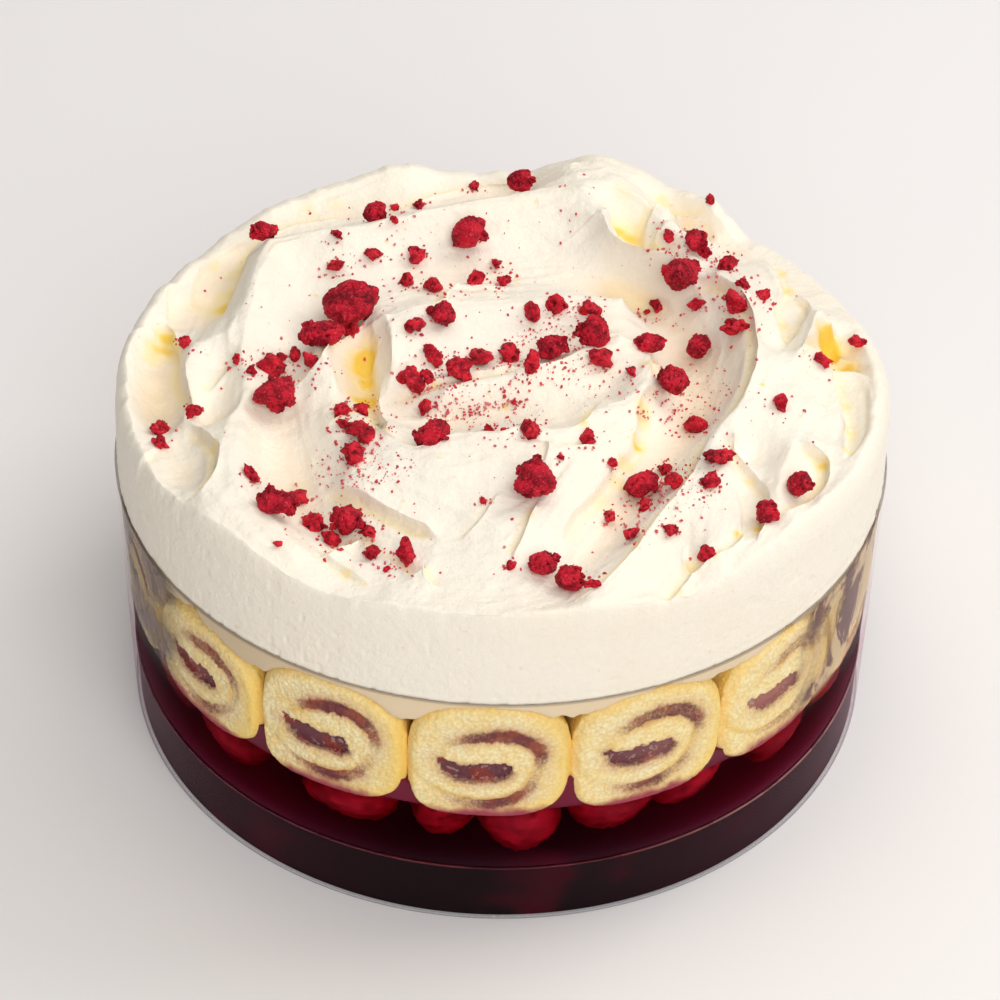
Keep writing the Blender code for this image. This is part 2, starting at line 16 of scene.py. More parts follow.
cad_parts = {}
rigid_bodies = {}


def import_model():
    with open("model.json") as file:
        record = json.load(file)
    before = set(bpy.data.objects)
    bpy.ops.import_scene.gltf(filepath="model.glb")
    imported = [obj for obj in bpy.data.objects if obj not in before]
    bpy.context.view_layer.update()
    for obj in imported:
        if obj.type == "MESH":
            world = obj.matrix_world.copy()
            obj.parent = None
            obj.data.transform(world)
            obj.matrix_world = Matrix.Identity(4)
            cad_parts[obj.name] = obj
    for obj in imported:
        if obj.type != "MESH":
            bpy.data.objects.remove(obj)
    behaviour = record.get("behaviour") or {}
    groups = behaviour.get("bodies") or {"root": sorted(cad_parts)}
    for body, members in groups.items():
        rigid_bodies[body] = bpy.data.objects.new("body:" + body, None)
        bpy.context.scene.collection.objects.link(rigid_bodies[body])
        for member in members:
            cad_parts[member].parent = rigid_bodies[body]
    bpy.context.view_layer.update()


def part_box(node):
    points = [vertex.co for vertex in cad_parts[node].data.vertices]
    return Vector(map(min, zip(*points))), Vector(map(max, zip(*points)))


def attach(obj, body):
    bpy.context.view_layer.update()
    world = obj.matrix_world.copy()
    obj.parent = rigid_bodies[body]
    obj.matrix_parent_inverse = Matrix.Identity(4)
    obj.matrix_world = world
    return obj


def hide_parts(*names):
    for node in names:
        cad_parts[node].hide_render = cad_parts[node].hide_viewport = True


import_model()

MM = 0.001

# The camera, at the photo's angle: straight in front, looking down.
CAMERA_PLACE = (0.0, -0.66196, 0.62216)
CAMERA_PITCH = 0.7106
CAMERA_ROLL = 0.0192
CAMERA_LENS = 125.56

# The tub.
RIM_RADIUS = 95.0
BASE_RADIUS = 93.5
TUB_HEIGHT = 72.6
WALL = 1.2
FLOOR_THICKNESS = 1.5
RIM_LINE = 71.65
ROUND_STEPS = 720

# The levels of the layers, and how far they reach into the wall.
LOWER_JELLY_TOP = 17.0
JELLY_LEVEL = 36.3
JELLY_DEPTHS = ((0.6, 17.2), (2.4, 18.5), (4.2, 21.0), (5.5, 25.0), (5.5, 35.7))
GAP_JELLY_TOP = 43.0
GAP_JELLY_DEPTH = 1.4
SLICE_FOOT = 33.5
INTO_WALL = 0.05
INTO_FLOOR = 0.8

# The Swiss roll slices.
SLICE_COUNT = 15
FRONT_SLICE_ANGLE = -0.9
SLICE_DEPTH = 13.0
SLICE_SQUARENESS = 2.7
SLICE_FLAP_SQUARENESS = 5.0
SLICE_FOOT_SQUARENESS = 3.4
SLICE_HEIGHTS = (36.7, 36.3, 36.0, 35.6, 35.2, 36.5, 35.0, 36.2, 35.8, 36.6, 34.9, 36.1, 35.4, 32.8, 36.4)
SLICE_CELLS = 110
# How much jam each slice shows, 1 being the most.
SLICE_JAM = (1.0, 0.85, 0.5, 0.9, 1.0, 0.8, 1.0, 0.9, 0.7, 1.0, 0.8, 0.9, 1.0, 0.75, 1.0)
SLICE_SIDE = ((0.4, 0.0), (1.2, 0.0), (2.6, 0.15), (5.0, 0.3), (8.0, 0.3), (12.0, 0.6), (SLICE_DEPTH, 1.6))

# The jam in a slice, from where it reaches the outside to its thick inner end: (across, up, half
# thickness, strength), in half widths, half heights, millimetres and from 0 to 1.
JAM_PATH = (
    (-0.97, -0.20, 0.35, 0.0),
    (-0.62, -0.52, 0.4, 0.15),
    (-0.10, -0.66, 0.8, 1.0),
    (0.36, -0.50, 0.7, 0.8),
    (0.58, -0.10, 0.5, 0.35),
    (0.57, 0.28, 1.0, 1.0),
    (0.26, 0.54, 1.4, 1.0),
    (-0.16, 0.50, 1.1, 1.0),
    (-0.52, 0.28, 0.4, 0.15),
    (-0.58, 0.06, 0.8, 0.5),
    (-0.30, -0.09, 2.2, 1.0),
    (0.14, -0.07, 2.1, 1.0),
)
JAM_LEAN = 0.05
JAM_LIFT = 0.05
JAM_WOBBLE = 0.02
JAM_STEADY_PLACES = 3

# How far down the custard hangs in each gap between slices, the first being right of the front slice.
CUSTARD_DIPS = (66.5, 67.4, 66.0, 65.0, 66.8, 64.8, 66.0, 65.2, 67.0, 65.4, 66.2, 64.9, 65.6, 64.3, 64.2)

# The cream's upper edge all round: (angle, radius, height).
CREAM_LIP = (
    (0, 92.5, 98.5),
    (12, 92.5, 99),
    (20, 92.5, 97.5),
    (27, 92.5, 95.5),
    (34, 92.5, 97),
    (42, 91.5, 99.5),
    (52, 91.5, 100),
    (64, 91.5, 98.5),
    (78, 90.5, 97.5),
    (90, 90, 97),
    (101, 89, 94),
    (113, 88.5, 90.5),
    (125, 88, 89.5),
    (136, 88, 88),
    (144, 87, 94),
    (151, 87, 93),
    (157, 86.5, 96.5),
    (163, 86, 99),
    (169, 86.5, 96),
    (176, 87, 90.5),
    (184, 87, 89.5),
    (191, 87, 91),
    (198, 86.5, 95.5),
    (205, 87, 93.5),
    (214, 87.5, 93),
    (224, 88, 93.5),
    (236, 88, 91.5),
    (250, 88.5, 92.5),
    (262, 90, 95),
    (274, 91, 95.5),
    (286, 91, 96),
    (298, 92, 96.5),
    (306, 92, 98),
    (313, 92, 101),
    (321, 92, 100.5),
    (329, 92.5, 97.5),
    (336, 92.5, 96),
    (348, 92.5, 98),
)
CREAM_RIDGES = {
    "back of the wide sweep": (
        (-60, 44, 99), (-49, 47, 100), (-37, 49, 100.5), (-25, 54, 100.5), (-10, 61, 100), (2, 66, 99.5),
        (12, 69, 99.5), (20, 68, 100.5),
    ),
    "left of the wide sweep": (
        (-60, 44, 99), (-62, 29, 101), (-64, 14, 100.5), (-64, 3, 99.5),
    ),
    "below the left": (
        (-64, 3, 99.5), (-62, -10, 100), (-61, -20, 100), (-66, -30, 100), (-66, -43, 100.5),
        (-69, -52, 99.5),
    ),
    "left leaf": (
        (-76, 3, 97.5), (-77, -8, 98), (-75, -18, 97.5), (-72, -27, 96.5),
    ),
    "tail of the sweep": (
        (21, 66, 100), (25, 57, 99.5), (27, 48, 99.5), (33, 42, 99), (41, 37, 97.5),
    ),
    "back right bank": (
        (20, 68, 100.5), (28, 70, 100), (38, 66, 96.5), (50, 58, 96),
    ),
    "back right curl": (
        (37, 51, 98), (41, 57, 98.5), (47, 53, 97.5), (50, 45, 96.5),
    ),
    "right wall": (
        (53, 34, 98.5), (58, 26, 100), (60, 15, 101), (61, 4, 101.5), (60, -7, 101.5), (57, -18, 101),
        (52, -30, 100.5), (46, -41, 99.5),
    ),
    "right lobe": (
        (79, 20, 98.5), (76, 9, 99.5), (72, -2, 100.5), (68, -12, 100.5), (60, -24, 101),
    ),
    "right bank": (
        (73, -18, 99.5), (70, -30, 99.5), (66, -40, 100.5), (64, -52, 100),
    ),
    "front right fold": (
        (56, -30, 100), (52, -44, 100), (49, -58, 100), (46, -72, 98.5),
    ),
    "right of the channel": (
        (46, -41, 99.5), (41, -51, 99.5), (37, -61, 99.5), (31, -73, 99), (25, -82, 98.5),
    ),
    "left of the channel": (
        (27, -28, 98), (19, -44, 99.5), (12, -60, 99), (5, -76, 97.5),
    ),
    "middle, back edge": (
        (-30, 13, 98.5), (-16, 18, 98), (0, 23, 97), (18, 28, 96), (30, 29, 94.5),
    ),
    "middle, left edge": (
        (-29, 12, 98.5), (-28, 2, 98.5), (-27, -6, 97),
    ),
    "left petal": (
        (-44, 9, 97.5), (-42, -1, 98.5), (-39, -12, 98.5), (-43, -22, 99),
    ),
    "middle fold": (
        (-14, -12, 96.5), (0, -7, 97.5), (12, -4, 97.5), (21, 2, 97.5), (28, 10, 96.5),
    ),
    "top of the mound": (
        (-43, -22, 99), (-40, -31, 100), (-33, -36, 99.5), (-27, -33, 101), (-20, -37, 100),
        (-10, -33, 101), (4, -31, 101), (15, -31, 100), (21, -25, 99), (28, -18, 98.5), (34, -14, 98.5),
        (37, -5, 98),
    ),
    "left bank": (
        (-60, -32, 100.5), (-60, -46, 101), (-55, -60, 101), (-46, -73, 99.5),
    ),
}
CREAM_HOLLOWS = {
    "behind the sweep": (
        (-58, 54, 91), (-42, 60, 91.5), (-28, 66, 91), (-12, 73, 90), (2, 78, 88.5),
    ),
    "left groove": (
        (-64, 52, 91), (-70, 41, 89.5), (-71, 28, 89.5), (-73, 19, 91.5),
    ),
    "outer left groove": (
        (-83, 15, 91), (-82, 0, 90.5), (-80, -13, 91), (-79, -22, 92.5),
    ),
    "left leaf fold": (
        (-68, -3, 97), (-69, -13, 95), (-70, -22, 93.5),
    ),
    "spoon mark": (
        (-76, -36, 95), (-73, -41, 95), (-72, -47, 96),
    ),
    "wide sweep, left": (
        (-52, 36, 96.5), (-52, 22, 96), (-50, 8, 95), (-52, -4, 94),
    ),
    "wide sweep, floor": (
        (-38, 34, 96), (-22, 38, 94), (-8, 38, 92.5), (10, 42, 92), (25, 42, 91), (38, 36, 90.5),
        (46, 22, 89.5), (49, 6, 89.5), (46, -12, 90.5), (40, -28, 91.5), (32, -44, 92.5), (25, -58, 93.5),
        (18, -72, 94.5), (14, -82, 96),
    ),
    "wide sweep, slope": (
        (-28, 46, 97.5), (-8, 52, 96.5), (10, 57, 96), (20, 52, 95.5),
    ),
    "behind the tail": (
        (30, 62, 92.5), (34, 54, 90.5), (38, 46, 92.5),
    ),
    "back right hollow": (
        (41, 70, 91.5), (52, 50, 93),
    ),
    "right groove": (
        (71, 42, 91), (71, 28, 93), (69, 16, 95), (67, 6, 97),
    ),
    "right pit": (
        (81, 13, 90.5), (82, 4, 91),
    ),
    "outer right groove": (
        (82, 1, 94.5), (84, -11, 95), (82, -26, 95.5),
    ),
    "first right crease": (
        (76, -32, 97), (74, -43, 97), (71, -53, 98),
    ),
    "second right crease": (
        (55, -34, 98), (58, -44, 97.5), (60, -54, 97.5),
    ),
    "third right crease": (
        (42, -67, 97), (43, -76, 96), (38, -83, 95.5),
    ),
    "crumb valley": (
        (-24, -6, 94.5), (-10, 0, 93), (2, 6, 92.5), (12, 11, 92.5), (22, 14, 93),
    ),
    "below the middle fold": (
        (-28, -16, 92), (-14, -16, 92.5), (0, -14, 93.5), (13, -11, 95), (26, -8, 95.5),
    ),
    "deep pit": (
        (-34, 12, 92.5), (-34, 4, 89.5), (-33, -4, 89.5), (-34, -10, 91),
    ),
    "small dip": (
        (17, -20, 95), (22, -17, 96),
    ),
    "left trough": (
        (-54, -20, 95), (-52, -34, 93.5), (-48, -47, 93), (-40, -59, 94), (-31, -70, 95), (-22, -78, 96),
    ),
    "mound fold": (
        (-29, -56, 98), (-19, -60, 97.5), (-9, -64, 98),
    ),
}
CREAM_MOUNDS = {
    "front mound": (
        (-30, -47, 100.5), (-12, -46, 102), (2, -47, 101.5), (10, -50, 100.5),
    ),
    "front terrace": (
        (-14, -72, 97.5), (0, -74, 98),
    ),
}
RIDGE_SOFTNESS = 0.9
HOLLOW_SOFTNESS = 2.6
MOUND_SOFTNESS = 9.0

# The folds and the painted yellow shadows below are read at this height, as the camera sees them.
READ_LEVEL = 100.0

# Folds, where one side stands over the other: (rise, reach, places). The raised side is the left one
# as the line runs.
CREAM_FOLDS = {
    "rim of the sweep": (2.4, 6.0, (
        (20, 79), (9.5, 72.5), (0, 68.5), (-6, 67), (-15, 64.5), (-21.5, 61), (-28, 56), (-38, 52.5),
        (-46, 51.5), (-52.5, 49.5), (-57, 47), (-62.5, 41), (-65.5, 35), (-66.5, 27), (-68, 20),
        (-70, 12),
    )),
    "left leaf": (2.6, 4.0, (
        (-82, 9), (-81.5, 6), (-80, 0), (-78.6, -5), (-78.6, -11), (-76.5, -19), (-73, -27.5), (-70, -30),
    )),
    "inside the leaf": (1.2, 2.5, (
        (-65, -3), (-66.5, -7), (-68, -13), (-70, -19),
    )),
    "right of the spoon mark": (2.4, 4.0, (
        (-74, -31), (-71.5, -34), (-68.7, -38), (-67.3, -41.5), (-67, -48), (-69, -54), (-72, -58),
    )),
    "left of the spoon mark": (1.2, 2.0, (
        (-76, -60), (-80.5, -54), (-83, -48), (-82.5, -43), (-79, -38),
    )),
    "left lip": (1.2, 3.0, (
        (-80, 5), (-81.5, 14), (-82.5, 20), (-80, 26),
    )),
    "left outer ridge": (0.9, 2.5, (
        (-76, 14), (-75, 27), (-70.5, 36), (-64, 43),
    )),
    "back of the middle": (2.4, 5.0, (
        (-1, 28), (-10.5, 25.5), (-14.5, 22), (-16, 17.5), (-20, 15.5), (-28, 15.5), (-33, 12), (-35, 9),
        (-40, 1), (-44, -5), (-47.5, -11), (-50, -16),
    )),
    "right of the deep pit": (2.6, 5.0, (
        (-34, 9), (-33, 4), (-32, 0), (-32.3, -7), (-31.2, -16), (-30.5, -22), (-28.3, -30), (-26, -34),
    )),
    "top of the mound": (2.8, 6.0, (
        (26, -17), (20.8, -22.5), (18.5, -29), (14, -30.6), (10, -30.3), (6.7, -27.8), (4.3, -29.8),
        (0.7, -32.7), (-5, -32.7), (-11, -33.5), (-16, -36), (-20, -37.3), (-24, -35.5), (-29, -32.5),
        (-32, -30),
    )),
    "curl beside the crack": (1.6, 3.0, (
        (24, -37), (17, -36.8), (13, -37.4), (10.5, -36), (8, -34),
    )),
    "crack above the berry": (1.2, 2.5, (
        (10.5, -34), (10, -41), (8.5, -45),
    )),
    "crack below the berry": (1.6, 3.0, (
        (9, -55), (7, -60), (5.5, -65.5), (3.8, -71), (2.5, -77),
    )),
    "left crack": (1.0, 3.0, (
        (1, -52), (-2.7, -57), (-4.3, -62), (-7, -66), (-10, -70),
    )),
    "shelf": (2.0, 4.0, (
        (-12, -86), (-15, -84), (-16.6, -80.8), (-19.5, -82.3), (-23, -78.5), (-28.2, -74.5),
        (-31.5, -70.3), (-36.5, -73.5), (-41, -77),
    )),
    "crease under the shelf": (1.3, 2.5, (
        (-42, -74), (-39.5, -76), (-36.5, -79.5), (-33, -82.5), (-29, -85.5),
    )),
    "back wall of the channel": (2.4, 6.0, (
        (47, 29.5), (54, 25), (58, 17.5), (59.5, 10), (59.7, 0), (58.6, -9), (56.2, -17), (53.2, -24.5),
        (49.8, -30), (47, -34), (44.5, -41), (42.5, -48), (38.5, -56), (35.5, -61.5), (32, -67.5),
        (29.5, -74), (24.8, -81), (21.3, -85.5), (15, -89),
    )),
    "left bank of the channel": (1.5, 5.0, (
        (14, -71), (16.7, -65.5), (19, -60), (23, -53.5), (26.5, -47.5), (28.5, -42.5), (31.3, -38.5),
        (33.2, -31.5), (33.8, -23), (35.3, -17.5), (39, -13),
    )),
    "petal by the channel": (1.8, 3.5, (
        (36, -12), (36.8, -6), (36.5, -2), (33.5, 2), (29, 4), (24, 4),
    )),
    "tail of the sweep": (2.8, 5.0, (
        (46, 32), (42, 36.5), (38.5, 40.5), (35, 42.5), (31, 44.5), (28, 50), (27.5, 55), (24, 60),
    )),
    "round curl": (2.0, 5.0, (
        (52, 54), (45, 57.5), (39.7, 59), (36.3, 57), (34, 52.5), (33.5, 46), (35, 42),
    )),
    "right lobe": (1.8, 4.0, (
        (70, 26), (72, 23), (74.5, 19.5), (72, 13), (70.3, 9), (68, 3),
    )),
    "left of the right groove": (1.5, 4.0, (
        (68, 4), (68.5, 10), (67.5, 18), (69.5, 24), (69, 32), (65, 40),
    )),
    "over the right pit": (2.2, 4.0, (
        (71, -1), (74.5, 2), (77.5, 5), (80.5, 8), (83, 12),
    )),
    "right of the right pit": (1.8, 4.0, (
        (80, 12), (80.5, 8), (80.8, 2), (82.5, -1.5), (86, -3), (89, -3),
    )),
    "under the right pit": (1.8, 4.0, (
        (88, -8), (84, -5), (81, -3), (78, 0.5), (74.5, 2), (71, 3),
    )),
    "outer right groove": (1.6, 4.0, (
        (79, -39), (81, -36), (82, -28), (81.5, -19), (80.5, -10), (79.5, -2),
    )),
    "outer right ridge": (1.0, 2.5, (
        (86.5, -10), (87, -16), (86.5, -22), (85.5, -29), (83, -35), (80, -39),
    )),
    "first crease": (1.8, 4.0, (
        (52, -32), (54, -35), (55, -39), (57, -43.5), (59.2, -49), (60.5, -54), (59.5, -60), (58.7, -65),
        (58, -69),
    )),
    "second crease": (1.0, 3.0, (
        (54, -69), (55, -66), (56, -60), (55.5, -52), (54, -47),
    )),
    "right bank": (2.2, 5.0, (
        (69, -33), (72.5, -36), (75, -39.5), (75, -44), (73, -50), (69.8, -54.5), (65.5, -58.5),
        (61, -61),
    )),
    "third crease": (1.5, 4.0, (
        (56, -63), (53.3, -69), (49.7, -73), (43.4, -79), (41, -83), (38, -88), (34, -91),
    )),
    "fourth crease": (1.2, 3.0, (
        (44, -82), (42.8, -78), (42.3, -73), (43, -68),
    )),
    "front right line": (0.6, 3.0, (
        (60, -72), (56, -75.5), (52.8, -80), (48, -83.5), (42, -86),
    )),
    "mound fold": (2.4, 6.0, (
        (-42, -54), (-38, -55), (-33.5, -56.5), (-30.3, -59.5), (-27, -61.5), (-23, -64), (-19, -66.5),
        (-13, -69),
    )),
    "middle fold": (1.6, 5.0, (
        (-28, -21), (-24, -19), (-19, -15.5), (-14, -12.5), (-8, -11), (0, -9), (6, -7),
    )),
    "crumb valley": (1.8, 5.0, (
        (29, 9), (24, 6), (19.7, 1.5), (16.5, -2), (12, -5.5), (5, -8), (0, -9),
    )),
}
FOLD_RAGGED = 0.45

# Small peaks where the cream was torn: (x, y, rise, reach).
CREAM_PEAKS = (
    (-75, -29, 2.4, 1.8),
    (-27.5, -32, 2.2, 1.6),
    (-16.6, -81, 2.2, 2.0),
    (6.7, -27, 2.2, 1.6),
    (-33, 6, 1.6, 1.8),
    (27.5, 54, 1.6, 1.8),
    (80.5, 9, 1.6, 1.8),
    (37, -4, 1.2, 1.8),
)

# Yellow shadows in the creases of the cream, painted into its colour: (x, y, reach, strength).
CREAM_PAINTED_SHADOWS = (
    (-81.5, 2, 2.4, 0.8), (-83, -2, 3, 1.0), (-84, -6, 2.4, 0.6), (-70, 14, 3, 0.8), (-69, 20, 2.6, 0.55),
    (-67.5, 28, 2.4, 0.35), (-72, 33, 1.8, 0.35), (-76, 14, 2.2, 0.3), (-33.2, 1, 1.8, 1.0),
    (-34, -4, 2.4, 1.1), (-34.5, -9, 2.4, 0.75), (-33, -14, 2, 0.55), (-33, -20.5, 2.8, 1.0),
    (-36, -23, 3, 0.6), (-38.5, -26, 2.4, 0.35), (78.5, 2.5, 2.4, 1.2), (80, 0, 2.4, 1.2),
    (79.6, 5.5, 1.6, 1.1), (83, -2.6, 2, 0.9), (70.5, 26, 2, 0.7), (69, 33, 1.8, 0.5),
    (68.5, 12, 1.6, 0.45), (31, 46.5, 2.2, 0.9), (29.5, 50, 1.8, 0.7), (40, 62.5, 2.2, 0.55),
    (30, 67, 3.5, 0.3), (33.8, -19, 1.8, 0.8), (33.6, -25, 2.2, 0.5), (32.6, -33, 2.4, 0.55),
    (30, -40, 2.4, 0.5), (28.6, -50, 2.2, 0.6), (25, -57, 3, 0.3), (34.5, -3.5, 1.8, 0.7),
    (8.7, -43.5, 1.6, 0.7), (7, -60, 1.0, 1.0), (4, -70, 1.0, 0.4), (58.8, -63.5, 1.5, 0.95),
    (54.3, -65.5, 1.1, 1.1), (43, -78, 1.8, 0.5), (74.5, -42, 1.4, 0.55), (75, -38, 1.2, 0.5),
    (40.5, -85, 1.2, 0.6), (49, -73.5, 1.2, 0.45), (82, -28, 1.4, 0.6), (81.6, -19, 1.4, 0.45),
    (81, -35, 1.3, 0.6), (87, -22, 0.8, 0.35), (19.3, -26.5, 1.7, 0.95), (-67.5, -38.5, 1.4, 0.6),
    (-66.5, -44, 1.4, 0.35), (-46, -52, 3, 0.25), (-34, -82, 1.2, 0.6), (-30, -85, 1.2, 0.4),
    (0.8, -22, 0.8, 1.2), (62.5, -11.2, 0.7, 1.3), (32.8, -36.3, 0.7, 1.3), (3, 27.5, 0.8, 0.9),
    (-50, 56.5, 3, 0.35), (-43, 58.5, 3, 0.35), (-16, -13.5, 1.4, 0.45), (-70, -17, 1.0, 0.4),
    (55.5, -37, 1.1, 0.4), (57.5, -45, 1.1, 0.35), (-58, 40, 2, 0.15), (12, 20, 3, 0.12),
    (26, 25, 3, 0.15),
)
LINE_STEP = 3.0
NEAREST_PLACES = 1.0
LIP_STEP_DEGREES = 4
CREAM_FOOT_RADIUS = 94.5
CREAM_SHOULDER_RADIUS = 94.1
CREAM_FOOT = 72.45
CREAM_CELLS = 440
CREAM_WALL_ROWS = 40

# The grid over the cream on which its strokes are worked out.
RASTER_REACH = 97.0
RASTER_CELLS = 560

# Large pieces of raspberry, one for each of the frame's: (x, y, length, width, height, turn).
LARGE_PIECES = (
    (-38, 18, 15.5, 13, 8.5, 20),
    (-44, 5, 11.5, 7.5, 6, 10),
    (-9, 49, 10.5, 9.5, 8, 70),
    (4, 74, 7.5, 6.5, 5.5, 0),
    (-61, 46, 8, 5, 4.5, 30),
    (-33, 55, 7, 5.5, 4.5, 50),
    (-15, 14, 8, 6, 5, 120),
    (22, 9, 9.5, 8, 7.5, 110),
    (12, 5, 9, 6.5, 5.5, 20),
    (36, 9, 8, 5.5, 4, 0),
    (44, 33, 11, 9, 7, 60),
    (48, 13, 8, 5.5, 4.5, 75),
    (48, 47, 6.5, 5.5, 5, 60),
    (41, -9, 9.5, 7, 5, 115),
    (33, -44, 8.5, 7, 6, 30),
    (69, -49, 7, 6, 5, 80),
    (61, -59, 6.5, 5.5, 5, 100),
    (8, -53, 12, 10, 8, 80),
    (10, -76, 7.5, 6, 5, 10),
    (16, -80, 7.5, 6.5, 5.5, 120),
    (-54, -19, 12, 8, 6, 30),
    (-51, -60, 10.5, 6.5, 5, 165),
    (-35, -61, 8.5, 7.5, 5.5, 60),
    (-16, -36, 10, 7, 5.5, 50),
)

FLAKES_PER_PIECE = 6

# Crumbs of raspberry: (x, y, length), read at the height READ_LEVEL.
CRUMBS = (
    (-37, 6, 7.5), (-28, 52, 3), (-28, 57, 3), (-22, 59, 4), (-8, 67, 3), (-7, 27, 6), (0, 27, 4),
    (-17, 24, 6), (-24, 26, 5), (-22, 37, 5), (-33, 37, 4.5), (-42, 32, 4.5), (-42, 45, 4), (-2, 34, 4),
    (-22, 8, 5), (7, 14, 7), (13, 17, 7), (21, 16, 5), (2, -2, 6), (7, -5, 6), (-6, -4, 7.5),
    (-10, -11, 7), (-17, -3, 6), (-22, -13, 6.5), (-18, -11, 4), (24, -4, 6), (35, 16, 2.5), (38, 29, 4),
    (41, 43, 5), (50, 40, 5), (55, 35, 5.5), (59, 28, 3.5), (52, 55, 4), (57, 19, 7), (57, 10, 7),
    (64, 23, 4), (47, 19, 4.5), (46, -28, 7), (51, -39, 6), (48.5, -48, 5), (38, -44, 4), (40, -49, 6),
    (33, -57, 4), (25, -61, 4), (39, -65, 3.5), (30, -67, 5), (66, -19, 5.5), (77, -2, 5), (88, 7, 5),
    (47, -73, 4), (20, -33, 5), (7, -31, 5.5), (-3, -31, 4), (1, -32, 4), (-18, -23, 5), (-38, -25, 5),
    (-33, -24, 4), (-33, -33, 7), (-37, -30, 4), (-34, -40, 6), (-46, -57, 5), (-42, -66, 6),
    (-38, -71, 5), (-30, -68, 4), (-29, -75, 4), (-25, -80, 2), (-21, -76, 6.5), (-51, -75, 2),
    (-57, -49, 4), (-55, -9, 7), (-50, -4, 5), (-53, -5, 4), (-46, -6, 5), (-64, -6, 3.5), (-60, -10, 3),
    (-51, -14, 3), (-77, 0, 4.5), (-73, -24, 4), (-80, -33, 5), (-79, -38, 4.5), (21, -84, 4),
    (3, -78, 2.5), (-4, -56, 2), (26, -42, 3), (14, -40, 2), (3, -18, 2), (31, -8, 4),
)

# Dust of raspberry lies in patches: (x, y, reach, how many), read at the height READ_LEVEL.
DUST_PATCHES = (
    (10, -2, 12, 170),
    (18, 14, 9, 90),
    (-8, -12, 13, 130),
    (0, -24, 10, 150),
    (-14, -20, 8, 90),
    (-36, -44, 9, 130),
    (-28, -44, 9, 70),
    (-33, -28, 9, 60),
    (42, -22, 10, 110),
    (48, -12, 9, 50),
    (42, -48, 10, 130),
    (33, -60, 9, 60),
    (50, 38, 9, 70),
    (44, 45, 8, 60),
    (57, 18, 9, 50),
    (25, -12, 12, 50),
    (-38, -66, 12, 60),
    (-50, -8, 12, 40),
    (-25, 35, 22, 50),
    (0, 0, 84, 260),
)
DUST_PER_CRUMB = 9
DUST_SIZES = (0.22, 1.05)

# Crumbs that would lie further out than this are drawn in to it, and dust further out is left away.
CRUMB_REACH = 88.0
DUST_REACH = 84.0

# Raspberries in the jelly: (angle, middle height, width, height, depth behind the wall).
JELLY_BERRIES = (
    (-77, 28, 20, 18, 1.4),
    (-62, 28, 21, 19, 1.4),
    (-46, 27.5, 22, 20, 0.5),
    (-22, 28, 25, 20, 0.4),
    (-8, 30, 15, 16, 1.6),
    (4.2, 28, 19, 20, 0.3),
    (17.8, 29.5, 21, 18, 0.5),
    (31.8, 30.5, 20, 15, 0.6),
    (50, 27.5, 20, 19, 0.4),
    (63.5, 29.5, 20, 16, 0.5),
)
# Below 1, the raspberries are flatter towards the wall and the middle.
BERRY_FLATNESS = 0.6

# Raspberries round the back: the angles they fill, the steps between them, and the least and the most
# middle height, width, height and depth behind the wall.
BACK_BERRY_ANGLES = (77.0, 284.0)
BACK_BERRY_STEP = (13, 17)
BACK_BERRY_SPANS = ((28, 31), (18, 23), (15, 19), (0.4, 2.5))

# The smears inside the wall: their angles and heights, and how far they fade out at each border.
LEFT_SMEAR = (-84, -52)
RIGHT_SMEAR = (48, 84)
SMEAR_HEIGHTS = (36.5, 71.5)
SMEAR_FADE = 6
SMEAR_FADE_BELOW = 4
SMEAR_FADE_ABOVE = 1.5

# The stage: half the floor's width in metres, the lights as (name, place, width, power, colour), the
# place that they point at, and the sky.
FLOOR_REACH = 3.0
LIGHTS = (
    ("light on the right", (1.05, 0.5, 1.0), 0.9, 9.2, (1.0, 0.985, 0.96)),
    ("light in front", (0.3, -1.2, 1.1), 1.2, 15.4, (1.0, 0.985, 0.965)),
    ("light above", (0.05, 0.45, 1.5), 1.6, 7.8, (1.0, 0.985, 0.965)),
)
LIGHT_AIM = (0.0, 0.0, 0.05)
SKY_COLOUR = (1.0, 0.95, 0.92, 1.0)
SKY_STRENGTH = 0.27


def wall_radius(height):
    """The tub's outside radius at a height."""
    return BASE_RADIUS + (RIM_RADIUS - BASE_RADIUS) * height / TUB_HEIGHT


def inner_radius(height):
    """The radius of the filling, which reaches just into the wall."""
    return wall_radius(height) - WALL + INTO_WALL


def around(radius, angle, height):
    """A place in metres from a radius, an angle and a height."""
    turn = np.radians(angle)
    return np.stack(
        np.broadcast_arrays(radius * np.sin(turn) * MM, -radius * np.cos(turn) * MM, height * MM), axis=-1
    )


def smooth_step(value, low, high):
    """0 below low, 1 above high and smooth in between."""
    part = np.clip((value - low) / (high - low), 0.0, 1.0)
    return part * part * (3 - 2 * part)


def smooth_line(points, spacing):
    """Places along a smooth curve through the points, about spacing apart, each with its direction."""
    points = [np.array(point, float) for point in points]
    padded = [2 * points[0] - points[1], *points, 2 * points[-1] - points[-2]]
    places = []
    for a, b, c, d in zip(padded, padded[1:], padded[2:], padded[3:]):
        steps = max(int(round(np.linalg.norm((c - b)[:2]) / spacing)), 1)
        for step in range(steps):
            t = step / steps
            straight = 2 * b + (c - a) * t
            bend = (2 * a - 5 * b + 4 * c - d) * t**2
            twist = (3 * b - a - 3 * c + d) * t**3
            places.append(0.5 * (straight + bend + twist))
    places.append(points[-1])
    return np.array(places)


